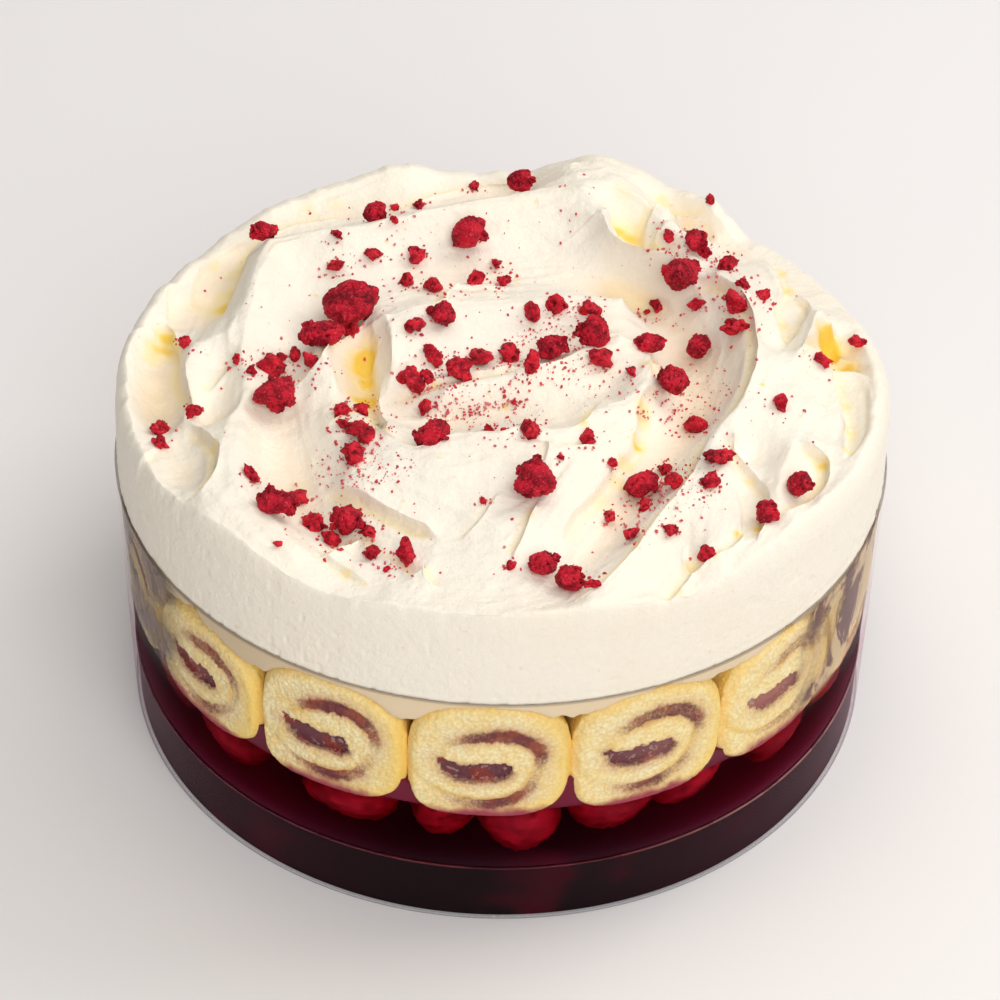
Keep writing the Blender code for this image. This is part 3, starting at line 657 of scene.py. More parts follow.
def wavy(x, y, size, seed):
    """Smooth noise from -1 to 1 over the plane, with bumps of about that size."""
    side = 256
    lattice = np.random.default_rng(seed).uniform(-1, 1, (side, side))
    x, y = x / size + 1000.0, y / size + 1000.0
    column, row = np.floor(x).astype(int), np.floor(y).astype(int)
    across, up = x - column, y - row
    across, up = across**2 * (3 - 2 * across), up**2 * (3 - 2 * up)

    def corner(right, above):
        return lattice[(row + above) % side, (column + right) % side]

    low = corner(0, 0) * (1 - across) + corner(1, 0) * across
    high = corner(0, 1) * (1 - across) + corner(1, 1) * across
    return low * (1 - up) + high * up


def layered(x, y, size, seed, layers=3):
    """Noise of several sizes, each half of the one before."""
    total = 0.0
    for layer in range(layers):
        total = total + wavy(x, y, size / 2**layer, seed + layer) / 2**layer
    return total / (2 - 0.5 ** (layers - 1))


def mesh_object(name, places, faces, finishes, values=None, face_slots=None, smooth=True):
    """A shown object from places in metres, faces, materials and named numbers at its points."""
    mesh = bpy.data.meshes.new(name)
    mesh.from_pydata(np.asarray(places).reshape(-1, 3).tolist(), [], [list(face) for face in faces])
    for finish in finishes:
        mesh.materials.append(finish)
    if face_slots is not None:
        mesh.polygons.foreach_set("material_index", np.asarray(face_slots, np.int32))
    for label, numbers in (values or {}).items():
        layer = mesh.attributes.new(label, "FLOAT", "POINT")
        layer.data.foreach_set("value", np.asarray(numbers, np.float32).reshape(-1))
    if smooth:
        mesh.shade_smooth()
    thing = bpy.data.objects.new(name, mesh)
    bpy.context.scene.collection.objects.link(thing)
    return thing


def ring_faces(rings, steps, first=0):
    """Quads between rings of points, each ring running anticlockwise seen from above, lowest ring first."""
    ring = np.arange(rings - 1)[:, None]
    step = np.arange(steps)[None, :]
    following = (step + 1) % steps
    lower = first + ring * steps
    upper = lower + steps
    quads = np.stack([lower + step, lower + following, upper + following, upper + step], axis=-1)
    return quads.reshape(-1, 4)


def lofted(name, rings, finishes, ring_slots=None, values=None, closed=True):
    """A round piece from rings of (radii, heights), capped at both ends if it is to be closed."""
    angles = np.arange(ROUND_STEPS) * 360.0 / ROUND_STEPS
    places = [around(np.broadcast_to(radii, angles.shape), angles, heights) for radii, heights in rings]
    faces = ring_faces(len(rings), ROUND_STEPS).tolist()
    if ring_slots is None:
        ring_slots = [0] * (len(rings) - 1)
    slots = np.repeat(ring_slots, ROUND_STEPS).tolist()
    if closed:
        last = (len(rings) - 1) * ROUND_STEPS
        faces.append(list(range(ROUND_STEPS))[::-1])
        faces.append(list(range(last, last + ROUND_STEPS)))
        slots += [slots[0], slots[-1]]
    values = {label: np.repeat(numbers, ROUND_STEPS) for label, numbers in (values or {}).items()}
    thing = mesh_object(name, np.concatenate(places), faces, finishes, values, slots)
    thing.data.set_sharp_from_angle(angle=math.radians(50))
    return thing


class Look:
    """A material's nodes, with a short call for each kind used here."""

    def __init__(self, name):
        self.material = bpy.data.materials.new(name)
        self.material.use_nodes = True
        self.tree = self.material.node_tree
        self.shader = self.tree.nodes["Principled BSDF"]
        self.output = self.tree.nodes["Material Output"]
        self.place = self.add("ShaderNodeTexCoord").outputs["Object"]

    def add(self, kind):
        return self.tree.nodes.new(kind)

    def feed(self, socket, value):
        if isinstance(value, bpy.types.NodeSocket):
            self.tree.links.new(value, socket)
        elif isinstance(value, tuple) and len(value) == 3 and socket.type == "RGBA":
            socket.default_value = (*value, 1.0)
        else:
            socket.default_value = value

    def set(self, **values):
        """Sets the Principled shader's sockets, with _ for each space in a name."""
        for name, value in values.items():
            self.feed(self.shader.inputs[name.replace("_", " ")], value)

    def attribute(self, name):
        node = self.add("ShaderNodeAttribute")
        node.attribute_name = name
        return node.outputs["Fac"]

    def stretched(self, scale):
        node = self.add("ShaderNodeMapping")
        self.feed(node.inputs["Vector"], self.place)
        node.inputs["Scale"].default_value = scale
        return node.outputs["Vector"]

    def noise(self, scale, detail=3.0, roughness=0.55, vector=None, distortion=0.0):
        node = self.add("ShaderNodeTexNoise")
        self.feed(node.inputs["Vector"], vector or self.place)
        node.inputs["Scale"].default_value = scale
        node.inputs["Detail"].default_value = detail
        node.inputs["Roughness"].default_value = roughness
        node.inputs["Distortion"].default_value = distortion
        return node.outputs["Fac"]

    def cells(self, scale, vector=None):
        node = self.add("ShaderNodeTexVoronoi")
        self.feed(node.inputs["Vector"], vector or self.place)
        node.inputs["Scale"].default_value = scale
        return node.outputs["Distance"]

    def math(self, operation, first, second=0.0, clamp=False):
        node = self.add("ShaderNodeMath")
        node.operation = operation
        node.use_clamp = clamp
        self.feed(node.inputs[0], first)
        self.feed(node.inputs[1], second)
        return node.outputs["Value"]

    def range(self, value, low, high, to_low=0.0, to_high=1.0):
        node = self.add("ShaderNodeMapRange")
        node.interpolation_type = "SMOOTHSTEP"
        self.feed(node.inputs["Value"], value)
        node.inputs["From Min"].default_value = low
        node.inputs["From Max"].default_value = high
        node.inputs["To Min"].default_value = to_low
        node.inputs["To Max"].default_value = to_high
        return node.outputs["Result"]

    def mix(self, factor, first, second):
        node = self.add("ShaderNodeMix")
        node.data_type = "RGBA"
        self.feed(node.inputs["Factor"], factor)
        self.feed(node.inputs[6], first)
        self.feed(node.inputs[7], second)
        return node.outputs[2]

    def height(self):
        node = self.add("ShaderNodeSeparateXYZ")
        self.feed(node.inputs["Vector"], self.place)
        return node.outputs["Z"]

    def across(self):
        node = self.add("ShaderNodeSeparateXYZ")
        self.feed(node.inputs["Vector"], self.place)
        return node.outputs["X"]

    def bump(self, height, strength, distance, normal=None):
        node = self.add("ShaderNodeBump")
        node.inputs["Strength"].default_value = strength
        node.inputs["Distance"].default_value = distance
        self.feed(node.inputs["Height"], height)
        if normal is not None:
            self.feed(node.inputs["Normal"], normal)
        return node.outputs["Normal"]

    def edge_on(self):
        """0 where the surface faces the viewer, rising to 1 where it is seen edge on."""
        node = self.add("ShaderNodeLayerWeight")
        node.inputs["Blend"].default_value = 0.5
        return node.outputs["Facing"]

    def surface(self, socket):
        self.tree.links.new(socket, self.output.inputs["Surface"])


def clear_tub_finish():
    """Thin clear plastic: it lets light straight through and mirrors more the more it is seen edge on."""
    look = Look("clear plastic")
    # Painted glints along the foot: a pale grey line lowest and a violet line just above it; higher up, the
    # dark line of the rim.
    line = look.mix(look.range(look.height(), 0.0008, 0.0012), (0.50, 0.49, 0.54), (0.14, 0.12, 0.28))
    line = look.mix(look.range(look.height(), 0.03, 0.04), line, (0.10, 0.06, 0.035))
    look.set(Base_Color=line, Roughness=0.3)
    clear = look.add("ShaderNodeBsdfTransparent")
    clear.inputs["Color"].default_value = (0.985, 0.985, 0.99, 1.0)
    gloss = look.add("ShaderNodeBsdfGlossy")
    over_jelly = look.range(look.height(), 0.034, 0.038)
    look.feed(gloss.inputs["Color"], look.mix(over_jelly, (0.80, 0.38, 0.52), (1.0, 0.97, 0.95)))
    gloss.inputs["Roughness"].default_value = 0.05
    seen_edge = look.edge_on()
    mirror = look.math("POWER", seen_edge, 8.0)
    mirror = look.math("ADD", look.math("MULTIPLY", mirror, 0.35), 0.002)
    both = look.add("ShaderNodeMixShader")
    look.feed(both.inputs[0], mirror)
    look.feed(both.inputs[1], clear.outputs[0])
    look.feed(both.inputs[2], gloss.outputs[0])
    edged = look.add("ShaderNodeMixShader")
    thickness = look.math("ADD", look.math("MULTIPLY", seen_edge, 0.6), 0.4, clamp=True)
    look.feed(edged.inputs[0], look.math("MULTIPLY", look.attribute("edge"), thickness))
    look.feed(edged.inputs[1], both.outputs[0])
    look.feed(edged.inputs[2], look.shader.outputs[0])
    look.surface(edged.outputs[0])
    return look.material


def tub_inside_finish():
    look = Look("inside of the plastic")
    look.tree.nodes.remove(look.shader)
    clear = look.add("ShaderNodeBsdfTransparent")
    look.surface(clear.outputs[0])
    return look.material


def dark_jelly_finish(name, middle, side, berry, amount):
    """Jelly too deep to see into, redder where raspberries lie near the wall, with painted light making it
    redder towards both sides.
    """
    look = Look(name)
    # Painted light: lighter and redder towards both sides.
    lit_sides = look.range(look.math("ABSOLUTE", look.across()), 0.015, 0.085)
    cloud = look.noise(42.0, 1.0, vector=look.stretched((1.0, 1.0, 1.6)))
    berries = look.range(cloud, 0.54, 0.78, 0.0, amount)
    look.set(
        Base_Color=look.mix(berries, look.mix(lit_sides, middle, side), berry),
        Roughness=0.4,
        Specular_IOR_Level=0.05,
    )
    return look.material


def clear_jelly_finish(name, colour, density):
    """Clear jelly: the light goes through its surface and is swallowed on its way."""
    look = Look(name)
    look.tree.nodes.remove(look.shader)
    clear = look.add("ShaderNodeBsdfTransparent")
    look.surface(clear.outputs[0])
    inside = look.add("ShaderNodeVolumeAbsorption")
    inside.inputs["Color"].default_value = (*colour, 1.0)
    inside.inputs["Density"].default_value = density
    look.tree.links.new(inside.outputs[0], look.output.inputs["Volume"])
    return look.material


def seam_finish(name, dark, pale, density=0.75):
    """A faint line on the wall: partly clear, with breaks in it, and with painted light making it paler on
    the right.
    """
    look = Look(name)
    clear = look.add("ShaderNodeBsdfTransparent")
    # Painted light: paler on the right.
    look.set(Base_Color=look.mix(look.range(look.across(), 0.025, 0.075), dark, pale), Roughness=0.35)
    both = look.add("ShaderNodeMixShader")
    worn = look.range(look.noise(90.0, 3.0), 0.3, 0.6, 0.35 * density, density)
    look.feed(both.inputs[0], worn)
    look.feed(both.inputs[1], clear.outputs[0])
    look.feed(both.inputs[2], look.shader.outputs[0])
    look.surface(both.outputs[0])
    return look.material


def sponge_finish():
    """Pale open crumb with golden skin, jam soaked into it, and a wet dark pocket of jam."""
    look = Look("sponge and jam")
    blotch = look.noise(150.0, 2.0)
    fine = look.noise(1500.0, 2.0, 0.6)
    grains = look.cells(1100.0)
    crumb = look.mix(look.range(blotch, 0.35, 0.65), (0.97, 0.79, 0.38), (0.98, 0.89, 0.55))
    crumb = look.mix(look.range(grains, 0.30, 0.75, 0.0, 0.6), crumb, (0.86, 0.60, 0.24))
    crumb = look.mix(look.attribute("skin"), crumb, (0.96, 0.66, 0.15))
    crumb = look.mix(look.math("MULTIPLY", look.attribute("crease"), 0.75), crumb, (0.88, 0.58, 0.11))
    halo = look.math("MULTIPLY", look.attribute("halo"), look.range(blotch, 0.3, 0.7, 0.5, 0.9))
    colour = look.mix(halo, crumb, (0.58, 0.27, 0.15))
    uneven = look.math("MULTIPLY", look.math("SUBTRACT", fine, 0.5), 0.8)
    soaked = look.range(look.math("ADD", look.attribute("jam"), uneven), 0.10, 0.95)
    jam = look.mix(look.range(blotch, 0.42, 0.58), (0.17, 0.045, 0.050), (0.30, 0.075, 0.045))
    colour = look.mix(soaked, colour, jam)
    wet = look.range(look.attribute("pocket"), 0.35, 0.6)
    bubbles = look.range(look.noise(620.0, 1.0), 0.60, 0.66)
    inside = look.mix(look.range(blotch, 0.42, 0.55), (0.14, 0.036, 0.048), (0.25, 0.032, 0.020))
    inside = look.mix(look.range(look.across(), 0.02, 0.06, 0.0, 0.6), inside, (0.46, 0.20, 0.16))
    inside = look.mix(look.math("MULTIPLY", bubbles, 0.35), inside, (0.62, 0.46, 0.42))
    colour = look.mix(wet, colour, inside)
    unlevel = look.math("MULTIPLY", look.math("SUBTRACT", blotch, 0.5), 0.005)
    stain = look.math("ADD", look.height(), unlevel)
    colour = look.mix(look.range(stain, 0.0355, 0.0388, 0.95, 0.0), colour, (0.34, 0.03, 0.085))
    bumps = look.bump(look.math("ADD", grains, fine), 0.45, 0.0005)
    look.set(
        Base_Color=colour,
        Roughness=look.range(look.attribute("pocket"), 0.35, 0.6, 0.85, 0.15),
        Normal=bumps,
        Specular_IOR_Level=0.3,
    )
    return look.material


def custard_finish():
    """Pale custard, stained dark where jelly has run in under it, with painted shade darkening its left
    side.
    """
    look = Look("custard")
    cloud = look.noise(55.0, 3.0)
    colour = look.mix(cloud, (0.78, 0.61, 0.38), (0.84, 0.69, 0.47))
    # Painted shade: darker towards the left.
    left = look.range(look.across(), -0.075, -0.02, 0.8, 0.0)
    colour = look.mix(left, colour, (0.60, 0.46, 0.28))
    unlevel = look.math("MULTIPLY", look.math("SUBTRACT", cloud, 0.5), 0.008)
    stain = look.math("ADD", look.height(), unlevel)
    colour = look.mix(look.range(stain, 0.050, 0.056, 1.0, 0.0), colour, (0.10, 0.016, 0.045))
    look.set(Base_Color=colour, Roughness=0.4, Normal=look.bump(look.noise(300.0, 2.0), 0.15, 0.0005))
    return look.material


def cream_finish():
    look = Look("whipped cream")
    cloud = look.noise(28.0, 2.0)
    colour = look.mix(look.range(cloud, 0.4, 0.7), (0.93, 0.87, 0.75), (0.93, 0.86, 0.72))
    # Painted shade: tan in the broad hollows; in the creases, painted yellow shade that deepens to a
    # saturated yellow.
    colour = look.mix(look.attribute("shade"), colour, (0.95, 0.78, 0.58))
    hollow = look.attribute("painted_shade_in_creases")
    colour = look.mix(look.range(hollow, 0.0, 0.6), colour, (0.94, 0.79, 0.46))
    colour = look.mix(look.range(hollow, 0.55, 1.25), colour, (0.90, 0.62, 0.08))
    speck = look.range(look.noise(420.0, 1.0, 0.4), 0.74, 0.78)
    colour = look.mix(look.math("MULTIPLY", speck, 0.35), colour, (0.85, 0.62, 0.25))
    look.set(
        Base_Color=colour,
        Roughness=0.5,
        Normal=look.bump(look.noise(620.0, 3.0, 0.7), 0.5, 0.0007),
        Specular_IOR_Level=0.35,
    )
    return look.material


def dried_finish(name, dark, bright, depth=1.0):
    """Freeze-dried raspberry: rough and dry, pinker on what stands out, partly pink dust and partly painted
    highlight, with painted shade in its hollows.
    """
    look = Look(name)
    fine = look.noise(1700.0, 2.0, 0.7)
    patch = look.noise(330.0, 2.0)
    colour = look.mix(look.range(patch, 0.38, 0.60), dark, bright)
    # Pink on the tops of the fine bumps is partly dust and partly painted highlight; the darkening in the
    # fine hollows and between the beads is painted shade, as strong as depth sets.
    colour = look.mix(look.range(fine, 0.56, 0.72, 0.0, 0.75), colour, (0.84, 0.10, 0.14))
    colour = look.mix(look.range(fine, 0.30, 0.44, 0.8 * depth, 0.0), colour, (0.07, 0.0, 0.005))
    dip = look.range(look.attribute("dip"), 0.10, 0.8, 0.0, depth)
    colour = look.mix(dip, colour, (0.055, 0.0, 0.004))
    look.set(
        Base_Color=colour,
        Roughness=0.55,
        Specular_IOR_Level=0.2,
        Normal=look.bump(fine, 1.0, 0.0008),
    )
    return look.material


def sunk_berry_finish():
    look = Look("raspberry in jelly")
    patches = look.range(look.noise(160.0, 3.0), 0.35, 0.65)
    colour = look.mix(patches, (0.24, 0.003, 0.012), (0.44, 0.008, 0.026))
    # Darker between the drupelets: painted shade.
    colour = look.mix(look.attribute("dip"), colour, (0.13, 0.001, 0.007))
    look.set(Base_Color=colour, Roughness=0.6, Specular_IOR_Level=0.1)
    return look.material


def smear_finish(name, film, patch, vein, stretch, vein_width):
    """Smears inside the wall: a film with patches and thin veins in it, clear where it is worn."""
    look = Look(name)
    place = look.stretched((1.0, 1.0, stretch))
    shades = look.noise(95.0, 4.0, 0.6, vector=place, distortion=0.8)
    colour = look.mix(look.range(shades, 0.50, 0.56), film, patch)
    veins = look.math("ABSOLUTE", look.math("SUBTRACT", shades, 0.53))
    veins = look.range(veins, 0.0, vein_width, 1.0, 0.0)
    colour = look.mix(veins, colour, vein)
    clear = look.add("ShaderNodeBsdfTransparent")
    look.set(Base_Color=colour, Roughness=0.4, Specular_IOR_Level=0.2)
    both = look.add("ShaderNodeMixShader")
    worn = look.range(look.noise(60.0, 3.0), 0.38, 0.52, 0.35, 1.0)
    shown = look.math("MULTIPLY", worn, look.attribute("cover"))
    look.feed(both.inputs[0], look.math("MULTIPLY", shown, 0.85))
    look.feed(both.inputs[1], clear.outputs[0])
    look.feed(both.inputs[2], look.shader.outputs[0])
    look.surface(both.outputs[0])
    return look.material


def floor_finish():
    look = Look("floor")
    look.set(
        Base_Color=look.mix(look.noise(9.0, 2.0), (0.85, 0.83, 0.826), (0.87, 0.852, 0.85)),
        Roughness=0.75,
        Specular_IOR_Level=0.3,
    )
    return look.material


def make_tub(clear, inside):
    """The tub: a turned shell with a rounded rim and a rounded foot."""
    rim = TUB_HEIGHT
    # The third number in each row is how much of the plastic's line colour shows: the painted glints at the
    # foot and the dark line of the rim.
    outside = [
        (0.01, 0.0, 0.0),
        (BASE_RADIUS - 3.0, 0.0, 0.0),
        (BASE_RADIUS - 0.9, 0.0, 0.2),
        (BASE_RADIUS - 0.3, 0.2, 0.7),
        (wall_radius(0.5), 0.5, 0.1),
        (wall_radius(1.2), 1.2, 0.0),
        (wall_radius(1.5), 1.5, 0.35),
        (wall_radius(1.9), 1.9, 0.0),
    ]
    outside += [(wall_radius(height), height, 0.0) for height in np.linspace(8, 64, 8)]
    outside += [
        (wall_radius(RIM_LINE), RIM_LINE, 0.0),
        (RIM_RADIUS, rim - 0.45, 0.0),
        (RIM_RADIUS - 0.1, rim - 0.2, 0.8),
        (RIM_RADIUS - 0.25, rim - 0.08, 1.0),
        (RIM_RADIUS - 0.6, rim, 1.0),
        (RIM_RADIUS - WALL + 0.2, rim - 0.1, 0.8),
    ]
    within = [
        (RIM_RADIUS - WALL, rim - 0.6, 0.0),
        (wall_radius(40) - WALL, 40.0, 0.0),
        (wall_radius(FLOOR_THICKNESS + 1) - WALL, FLOOR_THICKNESS + 1, 0.0),
        (wall_radius(FLOOR_THICKNESS) - WALL - 1, FLOOR_THICKNESS, 0.0),
        (0.01, FLOOR_THICKNESS, 0.0),
    ]
    profile = outside + within
    slots = [0] * (len(outside) - 1) + [1] * len(within)
    tub = lofted(
        "tub",
        [(radius, height) for radius, height, _ in profile],
        [clear, inside],
        slots,
        {"edge": [edge for _, _, edge in profile]},
    )
    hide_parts("bowl")
    return tub


def make_jelly(upper, lower, deep):
    """The two jelly layers, a hair's breadth apart, and the murk that ends the view into the upper one."""
    seam, bottom, top = LOWER_JELLY_TOP, FLOOR_THICKNESS - INTO_FLOOR, JELLY_LEVEL
    layers = (
        ("dark_jelly", ((0.0, bottom), (0.0, seam - 0.02)), lower, "lower_jelly"),
        ("clear_jelly", ((0.0, seam + 0.02), (0.0, top)), upper, "upper_jelly"),
        ("jelly_depth", JELLY_DEPTHS, deep, "upper_jelly"),
    )
    for name, borders, finish, slot in layers:
        rings = [(inner_radius(height) - inward, height) for inward, height in borders]
        layer = lofted(name, [(0.01, borders[0][1]), *rings, (0.01, borders[-1][1])], [finish])
        if name == "dark_jelly":
            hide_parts("jelly_lower")
        if name == "clear_jelly":
            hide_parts("jelly_upper")
        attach(layer, "root")


def make_gap_jelly(finish):
    """The jelly that has risen in the gaps between the slices."""
    angles = np.arange(ROUND_STEPS) * 360.0 / ROUND_STEPS
    low = JELLY_LEVEL - 0.5
    top = GAP_JELLY_TOP + 5.0 * layered(angles, 0 * angles, 9.0, 90)
    radius = inner_radius(low) - GAP_JELLY_DEPTH
    rings = [(radius - 2.0, low), (radius, low), (radius + 0.2, top), (radius - 2.0, top)]
    ring = lofted("jelly_in_gaps", rings, [finish], closed=False)
    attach(ring, "root")


def make_line(name, low, high, outward, finish):
    """A thin line round the wall, between two heights."""
    radius = wall_radius(low) - WALL + outward
    middle = (low + high) / 2
    rings = [
        (radius - 0.3, low),
        (radius, low),
        (radius + 0.02, middle),
        (radius, high),
        (radius - 0.3, high),
    ]
    line = lofted(name, rings, [finish], closed=False)
    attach(line, "root")


def slice_rim(turn, half_width, half_height):
    """The slice's outline: a squashed round that is squarer below, most of all on its left."""
    across, up = np.cos(turn), np.sin(turn)
    lower = np.where(across < 0, SLICE_FLAP_SQUARENESS, SLICE_FOOT_SQUARENESS)
    power = 2 / np.where(up < 0, lower, SLICE_SQUARENESS)
    return (
        np.sign(across) * np.abs(across) ** power * half_width,
        np.sign(up) * np.abs(up) ** power * half_height,
    )


def disc_grid(cells):
    """A square grid moved to the unit disc: the part of the way out and the turn, of each place."""
    side = np.linspace(-1, 1, cells + 1)
    across, up = np.meshgrid(side, side)
    wide = np.abs(across) > np.abs(up)
    part = np.where(wide, across, up)
    safe = np.where(part == 0, 1.0, part)
    turn = np.where(wide, math.pi / 4 * up / safe, math.pi / 2 - math.pi / 4 * across / safe)
    turn = np.where(part < 0, turn + math.pi, turn)
    return np.abs(part), turn


def grid_faces(columns, rows):
    """The quads of a grid whose places are numbered row by row."""
    row, column = np.meshgrid(np.arange(rows), np.arange(columns), indexing="ij")
    here = row * (columns + 1) + column
    return np.stack([here, here + 1, here + columns + 2, here + columns + 1], axis=-1).reshape(-1, 4)


def grid_edge(cells):
    """The indices of a grid's outer places, once round, anticlockwise."""
    side = cells + 1
    bottom = np.arange(cells)
    right = np.arange(cells) * side + cells
    top = cells * side + np.arange(cells, 0, -1)
    left = np.arange(cells, 0, -1) * side
    return np.concatenate([bottom, right, top, left])


def wrapped_faces(edge, first, rows):
    """Quads that carry a grid's edge on through rows of points, and a closing face of the last row."""
    steps = len(edge)
    lines = np.concatenate([edge[None, :], first + np.arange(rows * steps).reshape(-1, steps)])
    faces = []
    for near, far in zip(lines, lines[1:]):
        faces += np.stack([np.roll(near, -1), near, far, np.roll(far, -1)], axis=-1).tolist()
    return faces, lines[-1][::-1].tolist()


def jam_places(half_width, half_height, much, wobble):
    """The jam's middle line in one slice, each slice a little unlike."""
    lean = wobble.uniform(-JAM_LEAN, JAM_LEAN)
    lift = wobble.uniform(-JAM_LIFT, JAM_LIFT)
    places = []
    for index, (across, up, half, strength) in enumerate(JAM_PATH):
        fade = min(index / JAM_STEADY_PLACES, 1.0)
        across += fade * (lean * up + wobble.uniform(-JAM_WOBBLE, JAM_WOBBLE))
        up += fade * (lift + wobble.uniform(-JAM_WOBBLE, JAM_WOBBLE))
        strength *= much * wobble.uniform(0.75, 1.1)
        places.append((across * half_width, up * half_height, half, strength))
    return smooth_line(places, 0.5)


def slice_face(shift, path, across, up, part, turn):
    """How far each place of a slice's face lies behind the wall, and the numbers that colour it."""
    gap = np.hypot(across[..., None] - path[:, 0], up[..., None] - path[:, 1]) - path[:, 2]
    nearest = gap.argmin(axis=-1)
    gap = gap.min(axis=-1)
    along = np.gradient(path[:, :2], axis=0)[nearest]
    beside = along[..., 0] * (up - path[nearest, 1]) - along[..., 1] * (across - path[nearest, 0])
    outer = beside < 0
    in_pocket = smooth_step(nearest, len(path) * 0.79, len(path) * 0.85)
    uneven = 0.95 + 0.35 * layered(across + shift, up, 3.5, 28)
    creased = smooth_step(layered(across + shift, up, 6.0, 44), -0.35, 0.35)
    strength = np.clip(path[nearest, 3] * np.where(in_pocket > 0.5, 1.0, uneven), 0, 1)
    ragged = layered(across + shift, up, 1.6, 20)
    fringe = layered(across + shift, up, 0.9, 24)
    outside = np.clip(gap + 0.7 * ragged, 0, None)
    jam = strength * np.exp(-((outside / np.where(outer, 1.5, 0.45)) ** 2))
    halo = strength * np.exp(-((np.clip(gap, 0, None) / np.where(outer, 2.6, 1.1)) ** 2))
    crease = np.where(outer, 0.0, np.exp(-(((gap - 0.6) / 0.75) ** 2))) * (1 - in_pocket) * creased
    pocket = in_pocket * smooth_step(0.45 - gap - 0.9 * ragged - 0.7 * fringe, -0.15, 0.25)
    smooth_side = smooth_step(0.7 * np.cos(turn) - 0.7 * np.sin(turn), -0.5, 0.8)
    skin = smooth_step(part, 0.80 - 0.18 * smooth_side, 1.0) * (0.45 + 0.5 * smooth_side)
    pores = np.clip(layered(across + shift, up, 0.95, 40, 3), -1, 0)
    crumbs = layered(across + shift, up, 2.6, 50)
    sunk = (0.2 * (crumbs + 1) - 0.7 * pores * (1 - 0.8 * skin)) * (1 - pocket)
    sunk = sunk + 0.4 * np.exp(-((gap / 0.6) ** 2)) * (1 - in_pocket) + 1.3 * pocket
    sunk = np.clip(sunk - 0.18, 0, None) + 2.2 * smooth_step(part, 0.86, 1.0) ** 2
    sunk = np.where(part > 0.999, sunk + 0.25, sunk)
    return sunk, {"jam": jam, "halo": halo, "pocket": pocket, "skin": skin, "crease": crease}


def make_slices(finish):
    """Each slice with its jam, pressed against the wall."""
    wobble = random.Random(7)
    half_width = inner_radius(SLICE_FOOT) * math.pi / SLICE_COUNT
    part, turn = disc_grid(SLICE_CELLS)
    edge = grid_edge(SLICE_CELLS)
    side_skin = {"jam": 0.0, "halo": 0.0, "pocket": 0.0, "skin": 0.9, "crease": 0.0}
    for index, height in enumerate(SLICE_HEIGHTS):
        angle = FRONT_SLICE_ANGLE + index * 360 / SLICE_COUNT
        shift = index * 97.0
        middle = SLICE_FOOT + height / 2
        rim_across, rim_up = slice_rim(turn, half_width, height / 2)
        bulge = 1 + 0.012 * wavy(np.degrees(turn), shift + 0 * turn, 40.0, 3)
        across, up = part * rim_across * bulge, part * rim_up
        path = jam_places(half_width, height / 2, SLICE_JAM[index], wobble)
        sunk, values = slice_face(shift, path, across, up, part, turn)
        turned = angle + np.degrees(across / inner_radius(SLICE_FOOT))
        places = [around(inner_radius(middle + up) + 0.02 - sunk, turned, middle + up).reshape(-1, 3)]
        values = {label: [numbers.reshape(-1)] for label, numbers in values.items()}
        edge_across, edge_up = across.reshape(-1)[edge], up.reshape(-1)[edge]
        size = np.hypot(edge_across, edge_up)
        for depth, shrink in SLICE_SIDE:
            keep = 1 - shrink / size
            rough = 0.25 * layered(np.arange(len(edge)) * 0.4 + shift, depth + 0 * size, 2.0, 60)
            ring_up = edge_up * keep + rough * np.sign(edge_up)
            ring_across = edge_across * keep + rough * np.sign(edge_across)
            ring_turn = angle + np.degrees(ring_across / inner_radius(SLICE_FOOT))
            behind = sunk.reshape(-1)[edge] + depth
            places.append(around(inner_radius(middle + ring_up) - behind, ring_turn, middle + ring_up))
            for label, number in side_skin.items():
                values[label].append(number + 0 * size)
        faces = grid_faces(SLICE_CELLS, SLICE_CELLS).tolist()
        side, back = wrapped_faces(edge, (SLICE_CELLS + 1) ** 2, len(SLICE_SIDE))
        sponge = mesh_object(
            f"swiss_roll_slice_{index + 1:02d}",
            np.concatenate(places),
            faces + side + [back],
            [finish],
            {label: np.concatenate(numbers) for label, numbers in values.items()},
        )
        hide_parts(f"swiss_roll_{index + 1:02d}", f"roll_jam_{index + 1:02d}")
        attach(sponge, "root")


def slice_tops(angles):
    """The height of the slices' upper outline at each angle, and the custard's where it hangs lower."""
    half_width = math.degrees(math.pi / SLICE_COUNT)
    turn = np.linspace(0, math.pi, 181)
    tops = np.full(angles.shape, 0.0)
    step = 360 / SLICE_COUNT
    for index, height in enumerate(SLICE_HEIGHTS):
        across, up = slice_rim(turn, half_width, height / 2)
        offset = (angles - (FRONT_SLICE_ANGLE + index * step) + 180) % 360 - 180
        inside = np.abs(offset) <= half_width
        outline = SLICE_FOOT + height / 2 + np.interp(offset, across[::-1], up[::-1])
        tops = np.where(inside, np.maximum(tops, outline), tops)
    dips = np.zeros(angles.shape)
    for index, dip in enumerate(CUSTARD_DIPS):
        offset = (angles - (FRONT_SLICE_ANGLE + (index + 0.5) * step) + 180) % 360 - 180
        dips = np.where(np.abs(offset) <= half_width, dip + 0.03 * offset**2, dips)
    dips = dips + 1.3 * layered(angles, 0 * angles, 1.8, 33)
    return np.maximum(tops, dips)


